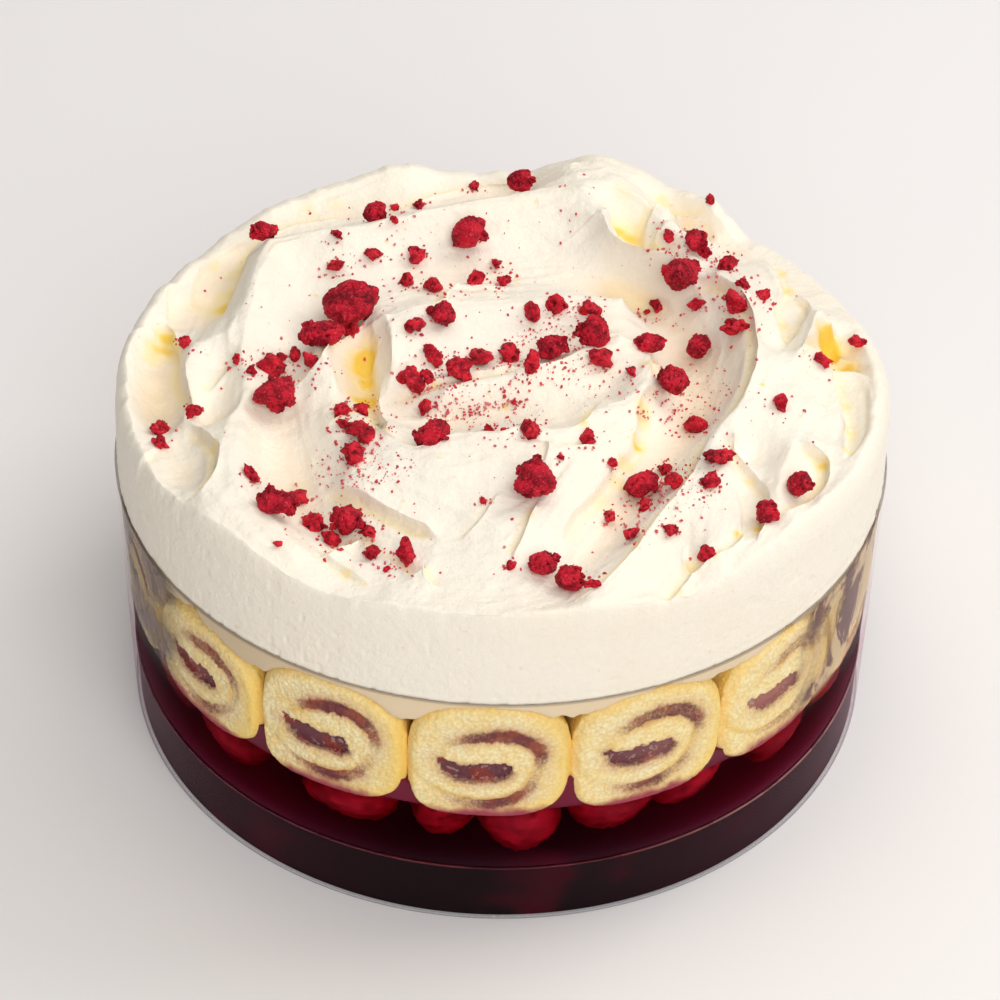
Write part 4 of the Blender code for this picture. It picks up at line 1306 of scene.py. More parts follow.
def make_custard(finish):
    """Custard over and between the slices' tops, and inside their ring."""
    angles = np.arange(ROUND_STEPS) * 360.0 / ROUND_STEPS
    low = slice_tops(angles)
    low = low + 0.35 * layered(angles, 0 * angles, 5.0, 70) - 0.1
    top = TUB_HEIGHT - 0.1
    rings = [(0.01, SLICE_FOOT), (inner_radius(SLICE_FOOT) - SLICE_DEPTH - 1.2, SLICE_FOOT)]
    rings.append((inner_radius(60.0) - SLICE_DEPTH - 1.2, low - 4.0))
    for back, drop in ((9.0, -2.0), (4.0, -0.9), (2.0, -0.45), (0.9, -0.05), (0.25, 0.5), (0.0, 1.1)):
        rings.append((inner_radius(70.0) - 0.02 - back, np.minimum(low + drop, top - 0.3)))
    for share in (0.3, 0.6, 1.0):
        start = np.minimum(low + 1.1, top - 0.3)
        rings.append((inner_radius(71.0) - 0.02, start + share * (top - start)))
    rings.append((0.01, top))
    custard = lofted("custard_filling", rings, [finish])
    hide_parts("custard")
    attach(custard, "root")


def lip_at(turn):
    """The cream's lip at turns in degrees: its radii and heights."""
    turns = [row[0] for row in CREAM_LIP] + [360]
    radii = [row[1] for row in CREAM_LIP] + [CREAM_LIP[0][1]]
    heights = [row[2] for row in CREAM_LIP] + [CREAM_LIP[0][2]]
    turn = np.asarray(turn) % 360
    return np.interp(turn, turns, radii), np.interp(turn, turns, heights)


class Cream:
    """The cream's upper surface: its swirls, and the finer strokes that follow them."""

    def __init__(self):
        side = np.linspace(-RASTER_REACH, RASTER_REACH, RASTER_CELLS)
        self.x, self.y = np.meshgrid(side, side)
        self.step = side[1] - side[0]
        self.gather_lines()
        self.swirls = self.swirl_heights()
        self.comb()
        self.shape_surface()

    def gather_lines(self):
        """The places that the surface runs through, their softness, and the lines' directions there."""
        places, softness, directions = [], [], []
        for lines, soft in (
            (CREAM_RIDGES, RIDGE_SOFTNESS),
            (CREAM_HOLLOWS, HOLLOW_SOFTNESS),
            (CREAM_MOUNDS, MOUND_SOFTNESS),
        ):
            for line in lines.values():
                line_places = smooth_line(line, LINE_STEP)
                along = np.gradient(line_places[:, :2], axis=0)
                for place, direction in zip(line_places, along):
                    if all(math.dist(place[:2], other[:2]) > NEAREST_PLACES for other in places):
                        places.append(place)
                        softness.append(soft)
                        directions.append(math.atan2(direction[1], direction[0]))
        for turn in range(0, 360, LIP_STEP_DEGREES):
            radius, height = lip_at(turn)
            radians = math.radians(turn)
            places.append(np.array((radius * math.sin(radians), -radius * math.cos(radians), height)))
            softness.append(HOLLOW_SOFTNESS)
            directions.append(radians)
        self.places = np.array(places)
        self.softness = np.array(softness)
        self.directions = np.array(directions)

    def swirl_heights(self):
        """The height over each place of the grid, and the lines' smoothed directions."""
        level = self.places[:, 2].mean()
        gap_x = self.places[:, None, 0] - self.places[None, :, 0]
        gap_y = self.places[:, None, 1] - self.places[None, :, 1]
        kernel = np.sqrt(gap_x**2 + gap_y**2 + self.softness[None, :] ** 2)
        weights = np.linalg.solve(kernel, self.places[:, 2] - level)
        flat_x, flat_y = self.x.reshape(-1), self.y.reshape(-1)
        heights = np.empty(flat_x.shape)
        double_cos, double_sin = np.empty(flat_x.shape), np.empty(flat_x.shape)
        chunk = 20000
        for start in range(0, len(flat_x), chunk):
            part = slice(start, start + chunk)
            away_x = flat_x[part, None] - self.places[:, 0]
            away_y = flat_y[part, None] - self.places[:, 1]
            away = away_x**2 + away_y**2
            heights[part] = level + np.sqrt(away + self.softness**2) @ weights
            pull = 1 / (away + 16.0) ** 1.5
            double_cos[part] = pull @ np.cos(2 * self.directions)
            double_sin[part] = pull @ np.sin(2 * self.directions)
        length = np.hypot(double_cos, double_sin) + 1e-12
        self.double_cos = (double_cos / length).reshape(self.x.shape)
        self.double_sin = (double_sin / length).reshape(self.x.shape)
        return heights.reshape(self.x.shape)

    def at(self, field, x, y):
        """A field's values at any places, in between by interpolation."""
        column = np.clip((x + RASTER_REACH) / self.step, 0, RASTER_CELLS - 1.001)
        row = np.clip((y + RASTER_REACH) / self.step, 0, RASTER_CELLS - 1.001)
        left, low = column.astype(int), row.astype(int)
        across, up = column - left, row - low
        return (
            field[low, left] * (1 - across) * (1 - up)
            + field[low, left + 1] * across * (1 - up)
            + field[low + 1, left] * (1 - across) * up
            + field[low + 1, left + 1] * across * up
        )

    def blurred(self, field, reach):
        """The field smoothed over about that reach."""
        padded = np.pad(field, 40, mode="edge")
        rows = np.fft.fftfreq(padded.shape[0])[:, None]
        columns = np.fft.rfftfreq(padded.shape[1])[None, :]
        soften = np.exp(-2 * (math.pi * reach / self.step) ** 2 * (rows**2 + columns**2))
        smooth = np.fft.irfft2(np.fft.rfft2(padded) * soften, s=padded.shape)
        return smooth[40:-40, 40:-40]

    def combed(self, field, length):
        """The field smeared along the lines' directions, which turns noise into strokes."""
        stride = 0.9 * self.step
        count = int(length / 2 / stride)
        total = field.copy()
        for way in (1.0, -1.0):
            x, y = self.x.copy(), self.y.copy()
            last_x = last_y = None
            for _ in range(count):
                angle = np.arctan2(self.at(self.double_sin, x, y), self.at(self.double_cos, x, y)) / 2
                step_x, step_y = np.cos(angle), np.sin(angle)
                if last_x is None:
                    step_x, step_y = way * step_x, way * step_y
                else:
                    turned = np.where(step_x * last_x + step_y * last_y < 0, -1.0, 1.0)
                    step_x, step_y = step_x * turned, step_y * turned
                x, y = x + stride * step_x, y + stride * step_y
                last_x, last_y = step_x, step_y
                total += self.at(field, x, y)
        return total / (2 * count + 1)

    def comb(self):
        """Strokes of three widths."""
        noise = np.random.default_rng(21)
        white = noise.normal(size=self.x.shape)

        def strokes(width, length):
            combed = self.combed(self.blurred(white, width), length)
            return combed / combed.std()

        self.fine_strokes = strokes(0.35, 10.0)
        self.wide_strokes = strokes(1.1, 22.0)
        self.folds = strokes(3.0, 34.0)

    def add_fold(self, rise, reach, line, ragged):
        """Raises the surface on the left of a line, with a groove along the foot of the step, and painted
        shade along that foot.
        """
        spacing = 0.7
        places = smooth_line(line, spacing)
        x, y, _ = seen_at_level(places[:, 0], places[:, 1], self)
        span = 4 * reach
        rows = np.flatnonzero((self.y[:, 0] > y.min() - span) & (self.y[:, 0] < y.max() + span))
        columns = np.flatnonzero((self.x[0] > x.min() - span) & (self.x[0] < x.max() + span))
        box = np.ix_(rows, columns)
        here_x, here_y = self.x[box], self.y[box]
        nearest = np.zeros(here_x.shape, int)
        closest = np.full(here_x.shape, np.inf)
        for index in range(len(x)):
            away = (here_x - x[index]) ** 2 + (here_y - y[index]) ** 2
            nearest = np.where(away < closest, index, nearest)
            closest = np.minimum(away, closest)
        along_x, along_y = np.gradient(x), np.gradient(y)
        length = np.hypot(along_x, along_y)
        beside = along_x[nearest] * (here_y - y[nearest]) - along_y[nearest] * (here_x - x[nearest])
        beside = beside / length[nearest] + ragged[box]
        from_end = np.minimum(nearest, len(x) - 1 - nearest) * spacing
        strength = rise * smooth_step(from_end, 0.0, 5.0) * smooth_step(94 - np.hypot(here_x, here_y), 0, 3)
        upper = np.exp(-np.clip(beside, 0, None) / reach)
        lower = -0.35 * np.exp(-((np.clip(-beside, 0, None) / 1.8) ** 2))
        self.steps[box] += strength * (lower + (upper - lower) * smooth_step(beside, -0.4, 0.5))
        # Painted shade along the foot of the step.
        foot = strength / 2.4 * np.exp(-(((beside + 0.9) / 1.0) ** 2))
        self.fold_foot_shade[box] = np.maximum(self.fold_foot_shade[box], foot)

    def shape_surface(self):
        """Adds the folds, peaks and strokes to the swirls, and works out the painted shade in creases and
        broad hollows.
        """
        self.heights = self.blurred(self.swirls, 4.0)
        self.steps, self.fold_foot_shade = 0 * self.swirls, 0 * self.swirls
        ragged = FOLD_RAGGED * layered(self.x, self.y, 3.6, 31)
        for rise, reach, line in CREAM_FOLDS.values():
            self.add_fold(rise, reach, line, ragged)
        height = self.swirls + self.steps
        for x, y, rise, reach in CREAM_PEAKS:
            x, y, _ = seen_at_level([x], [y], self)
            height = height + rise * np.exp(-((self.x - x) ** 2 + (self.y - y) ** 2) / reach**2)
        patches = smooth_step(layered(self.x, self.y, 26.0, 5), -0.5, 0.6)
        creased = 1 - np.clip(np.abs(self.folds) / 0.9, 0, 1)
        height = height + 0.5 * (creased**2 - 0.25) * (0.35 + 0.65 * patches)
        height = height + 0.13 * self.wide_strokes * (0.4 + 0.6 * patches) + 0.045 * self.fine_strokes
        height = height + 0.40 * layered(self.x, self.y, 5.0, 9, 4)
        self.heights = height
        # Painted yellow shade: where the surface lies below its smoothed swirls, along the foot of each
        # fold, and at the listed spots.
        painted_yellow_shade = 0.45 * np.clip((self.blurred(self.swirls, 5.0) - height - 1.2) / 4.5, 0, 1) + 0.4 * self.fold_foot_shade
        for x, y, reach, strength in CREAM_PAINTED_SHADOWS:
            x, y, _ = seen_at_level([x], [y], self)
            away = ((self.x - x) ** 2 + (self.y - y) ** 2) / (0.9 * reach) ** 2
            painted_yellow_shade = painted_yellow_shade + 0.95 * strength * np.exp(-away)
        self.painted_crease_shade = np.clip(painted_yellow_shade, 0, 1.3)
        # Painted shade: tan in the broad hollows.
        below = self.blurred(self.swirls, 11.0) - self.blurred(height, 1.5)
        self.shades = 0.75 * smooth_step(below, 0.6, 5.0)
        slope_y, slope_x = np.gradient(self.blurred(height, 0.7), self.step)
        steep = np.hypot(slope_x, slope_y) + 1e-9
        push = np.clip(steep * 0.8, 0, 1.3) / steep
        self.shift_x = slope_x * push
        self.shift_y = slope_y * push


def make_cream(cream, finish):
    """The cream: its swirled top, rounded lip and straight side, closed underneath."""
    part, turn = disc_grid(CREAM_CELLS)
    x, y = part * np.cos(turn), part * np.sin(turn)
    angles = np.degrees(np.arctan2(x, -y))
    radii, _ = lip_at(angles)
    ripple = 0.55 * wavy(angles * 1.6, 0 * angles, 5.0, 77) + 0.3 * wavy(angles * 1.6, 0 * angles, 2.2, 78)
    x, y = x * (radii + ripple), y * (radii + ripple)
    heights = cream.at(cream.heights, x, y)
    inward = smooth_step(1 - part, 0.0, 0.05)
    # The painted yellow shade of the creases and the painted shade of the broad hollows, carried to the
    # mesh.
    painted_crease_shade, shades = cream.at(cream.painted_crease_shade, x, y), inward * cream.at(cream.shades, x, y)
    x = x + inward * cream.at(cream.shift_x, x, y)
    y = y + inward * cream.at(cream.shift_y, x, y)
    top = np.stack([x, y, heights], axis=-1).reshape(-1, 3)
    edge = grid_edge(CREAM_CELLS)
    edge_places = top[edge]
    edge_angles = np.degrees(np.arctan2(edge_places[:, 0], -edge_places[:, 1]))
    edge_radii = np.hypot(edge_places[:, 0], edge_places[:, 1])
    rings = [top]
    bend_rows = 14
    lip_depth = 8.0
    for row in range(1, CREAM_WALL_ROWS + 1):
        if row <= bend_rows:
            bend = math.pi / 2 * row / bend_rows
            radius = edge_radii + (CREAM_SHOULDER_RADIUS - edge_radii) * math.sin(bend)
            height = edge_places[:, 2] - lip_depth * (1 - math.cos(bend))
        else:
            share = (row - bend_rows) / (CREAM_WALL_ROWS - bend_rows)
            start = edge_places[:, 2] - lip_depth
            radius = CREAM_SHOULDER_RADIUS + (CREAM_FOOT_RADIUS - CREAM_SHOULDER_RADIUS) * share + 0 * start
            height = start + (CREAM_FOOT - start) * share
        along = np.radians(edge_angles) * CREAM_FOOT_RADIUS
        held = min(row / bend_rows, 1.0)
        grain = 0.05 * wavy(along, height / 2.0, 0.9, 90) + 0.14 * layered(along, height, 3.5, 91)
        dents = np.clip(wavy(along, height, 2.2, 95) - 0.62, 0, None) * 0.9
        dents = dents + 0.12 * np.exp(-(((height - CREAM_FOOT - 2.2) / 0.35) ** 2))
        radius = radius + held * (grain - dents) - 0.15
        rings.append(around(radius, edge_angles, height) / MM)
    side, back = wrapped_faces(edge, len(top), CREAM_WALL_ROWS)
    faces = grid_faces(CREAM_CELLS, CREAM_CELLS).tolist() + side + [back]
    plain = np.zeros(CREAM_WALL_ROWS * len(edge))
    marks = {
        "painted_shade_in_creases": np.concatenate([painted_crease_shade.reshape(-1), plain]),
        "shade": np.concatenate([shades.reshape(-1), plain]),
    }
    piece = mesh_object("cream_swirls", np.concatenate(rings) * MM, faces, [finish], marks)
    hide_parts("cream")
    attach(piece, "root")
    return piece


def ball(subdivisions):
    """The points and faces of a unit icosphere."""
    bm = bmesh.new()
    bmesh.ops.create_icosphere(bm, subdivisions=subdivisions, radius=1.0)
    bm.verts.ensure_lookup_table()
    points = np.array([vert.co[:] for vert in bm.verts])
    faces = np.array([[vert.index for vert in face.verts] for face in bm.faces])
    bm.free()
    return points, faces


def ripples(points, wavelength, rng, waves=8):
    """Uneven noise in space, from about -1 to 1."""
    total = 0.0
    for _ in range(waves):
        way = rng.normal(size=3)
        way *= math.tau / (np.linalg.norm(way) * wavelength * rng.uniform(0.7, 1.4))
        total = total + np.sin(points @ way + rng.uniform(0, math.tau))
    return total / math.sqrt(waves)


def torn(points, rng, cuts, depth):
    """The points with a few sides broken off unevenly."""
    reach = np.abs(points).max()
    for _ in range(cuts):
        side = rng.normal(size=3)
        side /= np.linalg.norm(side)
        over = np.clip(points @ side - reach * rng.uniform(*depth), 0, None)
        points = points - over[:, None] * side * (0.85 + 0.15 * ripples(points, 0.5 * reach, rng))[:, None]
    return points


def far_apart(points, count, rng):
    """That many of the points, spread evenly."""
    chosen = [points[rng.integers(len(points))]]
    away = np.full(len(points), np.inf)
    for _ in range(count - 1):
        away = np.minimum(away, ((points - chosen[-1]) ** 2).sum(axis=1))
        chosen.append(points[int((away * rng.uniform(0.6, 1.0, len(points))).argmax())])
    return np.array(chosen)


def beaded(directions, size, bead, rise, rng, cuts=0, depth=(0.5, 0.8), unevenness=0.12):
    """A lump of that size covered in round beads: its points, and how deep each lies between beads."""
    half = np.array(size) / 2
    points = directions * half * (1 + unevenness * ripples(directions, 1.7, rng))[:, None]
    points = torn(points, rng, cuts, depth)
    count = max(int(4 * math.pi * np.prod(half) ** (2 / 3) / (0.75 * bead * bead)), 8)
    centres = far_apart(points, count, rng)
    gaps = points[:, None, :] - centres[None, :, :]
    away = np.sqrt((gaps**2).sum(axis=-1)).min(axis=1) / (0.62 * bead)
    dome = np.sqrt(np.clip(1 - away**2, 0, None))
    outward = directions / half
    outward = outward / np.linalg.norm(outward, axis=1, keepdims=True)
    raised = points + outward * (rise * bead * (dome - 0.55))[:, None]
    return raised, np.clip(away - 0.6, 0, 1) * 1.8


def joined(parts):
    """One list of points, faces and dips from several."""
    points, faces, dips, first = [], [], [], 0
    for part_points, part_faces, part_dips in parts:
        points.append(part_points)
        faces.append(part_faces + first)
        dips.append(part_dips)
        first += len(part_points)
    return np.concatenate(points), np.concatenate(faces), np.concatenate(dips)


def make_large_pieces(finish):
    """A torn piece of dried raspberry, with flakes that cling to it, for each plain one of the frame."""
    main_directions, main_faces = ball(4)
    flake_directions, flake_faces = ball(3)
    for index, (x, y, length, width, height, turn) in enumerate(LARGE_PIECES):
        rng = np.random.default_rng(300 + index)
        node = f"raspberry_piece_{index + 1:02d}"
        size = np.array((length, width, height))
        points, dips = beaded(main_directions, 0.88 * size, 1.5, 0.65, rng, cuts=5, depth=(0.45, 0.8))
        parts = [(points, main_faces, dips)]
        for _ in range(FLAKES_PER_PIECE):
            flake = rng.uniform(0.22, 0.40) * length * rng.uniform(0.4, 1.0, 3)
            points, dips = beaded(flake_directions, flake, 1.1, 0.75, rng, cuts=5, unevenness=0.32)
            way = rng.normal(size=3) * (1.0, 1.0, 0.5)
            way /= np.linalg.norm(way)
            parts.append((points + way * (0.40 * size), flake_faces, dips))
        points, faces, dips = joined(parts)
        points = points @ np.array(Matrix.Rotation(math.radians(turn), 3, "Z")).T
        low = np.array(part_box(node)[0]) / MM
        points[:, 2] += low[2] - points[:, 2].min() - 0.6
        points = points + np.array((x, y, 0.0))
        piece = mesh_object(f"dried_raspberry_{index + 1:02d}", points * MM, faces, [finish], {"dip": dips})
        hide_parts(node)
        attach(piece, "root")


def lump_collection(name, count, subdivisions, stretch, bead):
    """A few unlike lumps about 1 mm long, to be copied."""
    directions, faces = ball(subdivisions)
    group = bpy.data.collections.new(name)
    scale = 8.0
    for index in range(count):
        rng = np.random.default_rng(700 + index)
        size = np.array((1.0, rng.uniform(*stretch), rng.uniform(*stretch))) * scale
        points, dips = beaded(
            directions, size, bead * scale, 0.75, rng, cuts=6, depth=(0.3, 0.7), unevenness=0.42
        )
        lump = mesh_object(f"{name} {index}", points / scale * MM, faces, [], {"dip": dips})
        bpy.context.scene.collection.objects.unlink(lump)
        group.objects.link(lump)
    return group


def scatter_group(lumps, finish):
    """Geometry nodes that put a lump on each point, with the point's own size and turn."""
    group = bpy.data.node_groups.new("scatter", "GeometryNodeTree")
    group.interface.new_socket("Places", in_out="INPUT", socket_type="NodeSocketGeometry")
    group.interface.new_socket("Lumps", in_out="INPUT", socket_type="NodeSocketCollection")
    group.interface.new_socket("Seed", in_out="INPUT", socket_type="NodeSocketInt")
    group.interface.new_socket("Crumbs", in_out="OUTPUT", socket_type="NodeSocketGeometry")
    node = {
        kind: group.nodes.new(kind)
        for kind in (
            "NodeGroupInput",
            "GeometryNodeCollectionInfo",
            "GeometryNodeInstanceOnPoints",
            "FunctionNodeRandomValue",
            "GeometryNodeRealizeInstances",
            "GeometryNodeSetMaterial",
            "NodeGroupOutput",
        )
    }
    size = group.nodes.new("GeometryNodeInputNamedAttribute")
    size.data_type = "FLOAT"
    size.inputs["Name"].default_value = "size"
    turn = group.nodes.new("GeometryNodeInputNamedAttribute")
    turn.data_type = "FLOAT_VECTOR"
    turn.inputs["Name"].default_value = "turn"
    node["GeometryNodeCollectionInfo"].inputs["Separate Children"].default_value = True
    node["GeometryNodeCollectionInfo"].inputs["Reset Children"].default_value = True
    chosen = node["FunctionNodeRandomValue"]
    chosen.data_type = "INT"
    for socket in chosen.inputs:
        if socket.type == "INT" and socket.name == "Max":
            socket.default_value = len(lumps.objects) - 1
    placed = node["GeometryNodeInstanceOnPoints"]
    placed.inputs["Pick Instance"].default_value = True
    plain = node["GeometryNodeRealizeInstances"]
    coloured = node["GeometryNodeSetMaterial"]
    coloured.inputs["Material"].default_value = finish
    seed_socket = [socket for socket in chosen.inputs if socket.name == "Seed"][0]
    number = [socket for socket in chosen.outputs if socket.type == "INT"][0]
    links = (
        (node["NodeGroupInput"].outputs["Places"], placed.inputs["Points"]),
        (node["NodeGroupInput"].outputs["Lumps"], node["GeometryNodeCollectionInfo"].inputs["Collection"]),
        (node["NodeGroupInput"].outputs["Seed"], seed_socket),
        (node["GeometryNodeCollectionInfo"].outputs[0], placed.inputs["Instance"]),
        (number, placed.inputs["Instance Index"]),
        (size.outputs[0], placed.inputs["Scale"]),
        (turn.outputs[0], placed.inputs["Rotation"]),
        (placed.outputs[0], plain.inputs[0]),
        (plain.outputs[0], coloured.inputs["Geometry"]),
        (coloured.outputs[0], node["NodeGroupOutput"].inputs[0]),
    )
    for start, end in links:
        group.links.new(start, end)
    return group


def scattered(name, places, sizes, turns, lumps, finish, seed):
    """One plain mesh of lumps at the places."""
    points = bpy.data.meshes.new(name + " places")
    points.from_pydata((np.asarray(places) * MM).tolist(), [], [])
    points.attributes.new("size", "FLOAT", "POINT").data.foreach_set("value", np.asarray(sizes, np.float32))
    points.attributes.new("turn", "FLOAT_VECTOR", "POINT").data.foreach_set(
        "vector", np.asarray(turns, np.float32).reshape(-1)
    )
    holder = bpy.data.objects.new(name + " places", points)
    bpy.context.scene.collection.objects.link(holder)
    group = scatter_group(lumps, finish)
    modifier = holder.modifiers.new("scatter", "NODES")
    modifier.node_group = group
    for item in group.interface.items_tree:
        if item.item_type == "SOCKET" and item.in_out == "INPUT":
            if item.name == "Lumps":
                modifier[item.identifier] = lumps
            elif item.name == "Seed":
                modifier[item.identifier] = seed
    graph = bpy.context.evaluated_depsgraph_get()
    mesh = bpy.data.meshes.new_from_object(holder.evaluated_get(graph))
    bpy.data.objects.remove(holder, do_unlink=True)
    mesh.name = name
    mesh.shade_smooth()
    thing = bpy.data.objects.new(name, mesh)
    bpy.context.scene.collection.objects.link(thing)
    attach(thing, "root")
    return thing


def seen_at_level(x, y, cream):
    """Places on the cream that look, from the camera, as if they lay at (x, y) at READ_LEVEL."""
    eye = np.array(CAMERA_PLACE) / MM
    x, y = np.asarray(x, float), np.asarray(y, float)
    on_x, on_y = x.copy(), y.copy()
    for _ in range(8):
        height = cream.at(cream.heights, on_x, on_y)
        share = (eye[2] - height) / (eye[2] - READ_LEVEL)
        on_x = eye[0] + (x - eye[0]) * share
        on_y = eye[1] + (y - eye[1]) * share
    return on_x, on_y, cream.at(cream.heights, on_x, on_y)


def make_crumbs(cream, finish, dust_finish):
    """The small crumbs where the photo has them, and dust around them and over all."""
    rng = np.random.default_rng(8)
    rows = np.array(CRUMBS, float)
    x, y, _ = seen_at_level(rows[:, 0], rows[:, 1], cream)
    pull = np.minimum(1.0, CRUMB_REACH / np.hypot(x, y))
    x, y = pull * x, pull * y
    z = cream.at(cream.heights, x, y)
    sizes = rows[:, 2]
    turns = rng.uniform(-1, 1, (len(rows), 3)) * (0.5, 0.5, math.pi)
    places = np.stack([x, y, z + 0.18 * sizes], axis=-1)
    lumps = lump_collection("crumb shapes", 12, 3, (0.35, 0.8), 0.26)
    scattered("raspberry_crumbs", places, sizes, turns, lumps, finish, 4)
    dust_x, dust_y, dust_size = [], [], []
    for patch_x, patch_y, reach, count in DUST_PATCHES:
        away = reach * np.sqrt(rng.random(count)) ** 1.1
        turn = rng.uniform(0, math.tau, count)
        dust_x.append(patch_x + away * np.cos(turn))
        dust_y.append(patch_y + away * np.sin(turn))
        dust_size.append(DUST_SIZES[0] + (DUST_SIZES[1] - DUST_SIZES[0]) * rng.random(count) ** 2.2)
    beside_x = np.repeat(rows[:, 0], DUST_PER_CRUMB)
    beside_y = np.repeat(rows[:, 1], DUST_PER_CRUMB)
    beside_size = np.repeat(rows[:, 2], DUST_PER_CRUMB)
    turn = rng.uniform(0, math.tau, len(beside_x))
    away = beside_size * (0.4 + 0.9 * rng.random(len(beside_x)) ** 1.5)
    dust_x.append(beside_x + away * np.cos(turn))
    dust_y.append(beside_y + away * np.sin(turn))
    dust_size.append(rng.uniform(*DUST_SIZES, len(beside_x)) * 1.1)
    dust_x, dust_y, dust_size = map(np.concatenate, (dust_x, dust_y, dust_size))
    x, y, z = seen_at_level(dust_x, dust_y, cream)
    inside = np.hypot(x, y) < DUST_REACH
    places = np.stack([x, y, z + 0.05], axis=-1)[inside]
    turns = rng.uniform(-math.pi, math.pi, (len(places), 3))
    specks = lump_collection("speck shapes", 7, 1, (0.25, 0.8), 0.5)
    scattered("raspberry_dust", places, dust_size[inside], turns, specks, dust_finish, 9)


def make_jelly_berries(finish):
    """Whole raspberries in the jelly: those that show through the wall, and more like them all round."""
    rng = np.random.default_rng(12)
    rows = list(JELLY_BERRIES)
    angle, last = BACK_BERRY_ANGLES
    while angle < last:
        rows.append((angle, *(rng.uniform(*span) for span in BACK_BERRY_SPANS)))
        angle += rng.uniform(*BACK_BERRY_STEP)
    directions, faces = ball(4)
    parts = []
    for angle, middle, width, height, depth in rows:
        thick = 0.8 * width
        size = (width, thick, height)
        points, dip = beaded(directions, size, 3.4, 0.5, rng, unevenness=0.05)
        narrow = 1 - 0.36 * np.clip(-directions[:, 2], -0.4, 1)
        flat = np.abs(points[:, 1]) / (0.5 * thick)
        points[:, 0] *= narrow
        points[:, 1] *= narrow * np.clip(flat, 0.02, None) ** (BERRY_FLATNESS - 1)
        tilt = Euler((rng.uniform(-0.15, 0.15), rng.uniform(-0.35, 0.35), 0.0)).to_matrix()
        points = points @ np.array(tilt).T
        outermost = -points[:, 1].min()
        radius = inner_radius(middle) - depth - outermost
        spin = np.array(Matrix.Rotation(math.radians(angle), 3, "Z"))
        points = points @ spin.T + around(radius, angle, middle) / MM
        parts.append((points, faces, dip))
    points, faces, dips = joined(parts)
    berries = mesh_object("jelly_raspberries", points * MM, faces, [finish], {"dip": dips})
    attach(berries, "root")


def make_smear(name, start, end, finish):
    """A film just inside the wall, fading out at its borders."""
    columns, rows = 60, 40
    low, high = SMEAR_HEIGHTS
    angles = np.linspace(start, end, columns + 1)
    heights = np.linspace(low, high, rows + 1)
    angle, height = np.meshgrid(angles, heights)
    radius = wall_radius(height) - WALL * 0.6
    fade = smooth_step(angle, start, start + SMEAR_FADE) * (1 - smooth_step(angle, end - SMEAR_FADE, end))
    fade = fade * smooth_step(height, low, low + SMEAR_FADE_BELOW)
    fade = fade * (1 - smooth_step(height, high - SMEAR_FADE_ABOVE, high))
    places = around(radius, angle, height)
    film = mesh_object(name, places, grid_faces(columns, rows), [finish], {"cover": fade})
    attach(film, "root")


def make_camera():
    pitch, roll = CAMERA_PITCH, CAMERA_ROLL
    forward = Vector((0.0, math.cos(pitch), -math.sin(pitch)))
    level_right = forward.cross(Vector((0, 0, 1))).normalized()
    level_up = level_right.cross(forward)
    right = math.cos(roll) * level_right + math.sin(roll) * level_up
    up = -math.sin(roll) * level_right + math.cos(roll) * level_up
    data = bpy.data.cameras.new("camera")
    data.lens = CAMERA_LENS
    data.sensor_width = 36.0
    camera = bpy.data.objects.new("camera", data)
    bpy.context.scene.collection.objects.link(camera)
    turned = Matrix((right, up, -forward)).transposed().to_4x4()
    turned.translation = CAMERA_PLACE
    camera.matrix_world = turned
    bpy.context.scene.camera = camera


def make_light(name, place, width, power, colour):
    """A square light that points at LIGHT_AIM."""
    data = bpy.data.lights.new(name, "AREA")
    data.shape = "RECTANGLE"
    data.size, data.size_y = width, width
    data.energy = power
    data.color = colour
    lamp = bpy.data.objects.new(name, data)
    lamp.location = place
    lamp.rotation_euler = (Vector(LIGHT_AIM) - Vector(place)).to_track_quat("-Z", "Y").to_euler()
    bpy.context.scene.collection.objects.link(lamp)


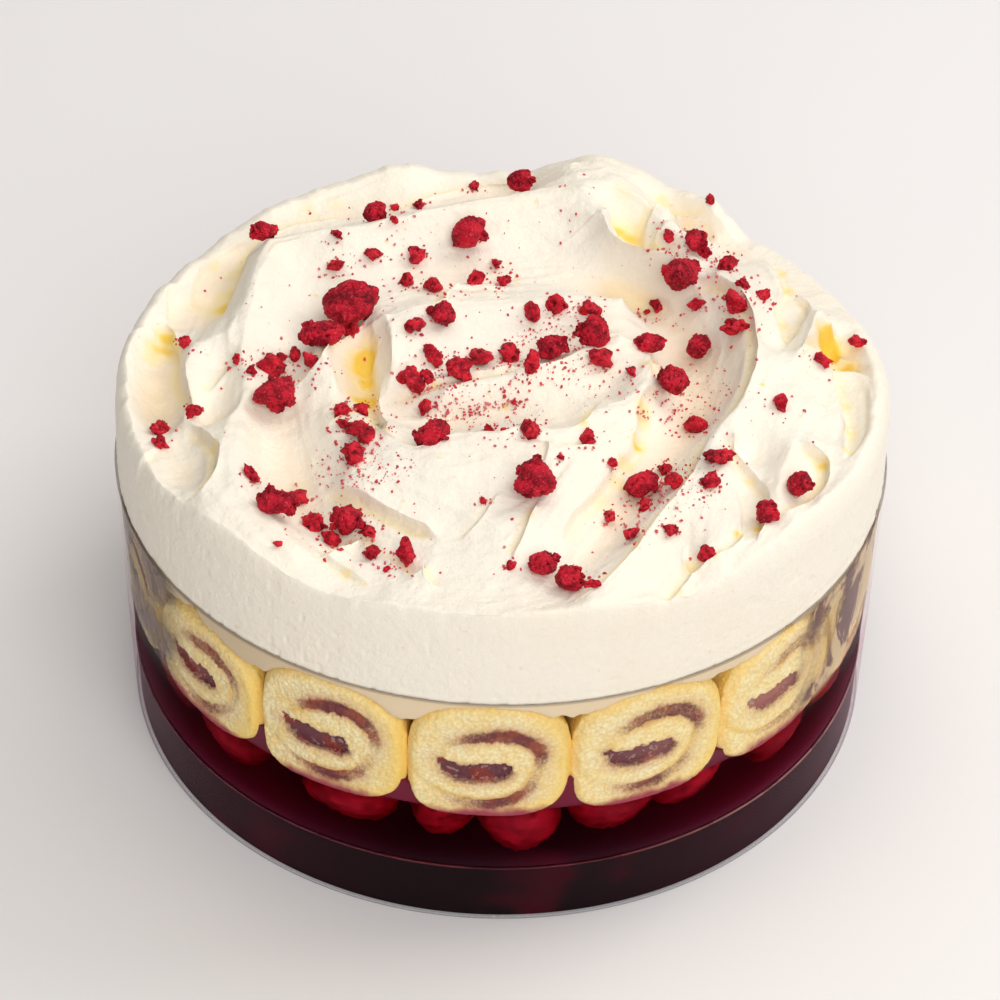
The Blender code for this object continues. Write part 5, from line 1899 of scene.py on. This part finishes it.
def make_stage():
    """A plain pale floor, three soft lights and an even sky."""
    reach = FLOOR_REACH
    floor = mesh_object(
        "floor",
        [(-reach, -reach, 0.0), (reach, -reach, 0.0), (reach, reach, 0.0), (-reach, reach, 0.0)],
        [(0, 1, 2, 3)],
        [floor_finish()],
        smooth=False,
    )
    for light in LIGHTS:
        make_light(*light)
    world = bpy.data.worlds.new("sky")
    world.use_nodes = True
    sky = world.node_tree.nodes["Background"]
    sky.inputs["Color"].default_value = SKY_COLOUR
    sky.inputs["Strength"].default_value = SKY_STRENGTH
    bpy.context.scene.world = world
    bpy.context.scene.view_settings.view_transform = "Standard"
    bpy.context.scene.view_settings.look = "None"


def main():
    make_camera()
    make_stage()
    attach(make_tub(clear_tub_finish(), tub_inside_finish()), "root")
    make_jelly(
        clear_jelly_finish("clear jelly", (0.78, 0.28, 0.48), 420.0),
        dark_jelly_finish(
            "dark jelly", (0.009, 0.0030, 0.0045), (0.030, 0.0035, 0.010), (0.06, 0.003, 0.009), 0.8
        ),
        dark_jelly_finish(
            "jelly depth", (0.024, 0.009, 0.014), (0.17, 0.035, 0.070), (0.16, 0.01, 0.03), 0.6
        ),
    )
    make_gap_jelly(
        dark_jelly_finish(
            "jelly in gaps", (0.17, 0.018, 0.040), (0.15, 0.03, 0.05), (0.11, 0.01, 0.03), 0.6
        )
    )
    make_jelly_berries(sunk_berry_finish())
    pink = seam_finish("pink seam", (0.15, 0.012, 0.025), (0.52, 0.22, 0.20))
    make_line("layer_seam", LOWER_JELLY_TOP - 0.05, LOWER_JELLY_TOP + 0.38, 0.25, pink)
    make_slices(sponge_finish())
    make_custard(custard_finish())
    cream = Cream()
    make_cream(cream, cream_finish())
    make_large_pieces(dried_finish("dried raspberry", (0.30, 0.0, 0.012), (0.68, 0.010, 0.032), 0.85))
    make_crumbs(
        cream,
        dried_finish("raspberry crumb", (0.44, 0.0, 0.014), (0.82, 0.018, 0.040), 0.8),
        dried_finish("raspberry dust", (0.72, 0.05, 0.07), (0.90, 0.24, 0.24), 0.15),
    )
    left = smear_finish(
        "smear on the left", (0.20, 0.135, 0.125), (0.12, 0.07, 0.075), (0.50, 0.36, 0.15), 0.8, 0.010
    )
    right = smear_finish(
        "smear on the right", (0.66, 0.48, 0.27), (0.14, 0.05, 0.055), (0.46, 0.28, 0.17), 0.6, 0.016
    )
    make_smear("wall_smear_left", *LEFT_SMEAR, left)
    make_smear("wall_smear_right", *RIGHT_SMEAR, right)


main()
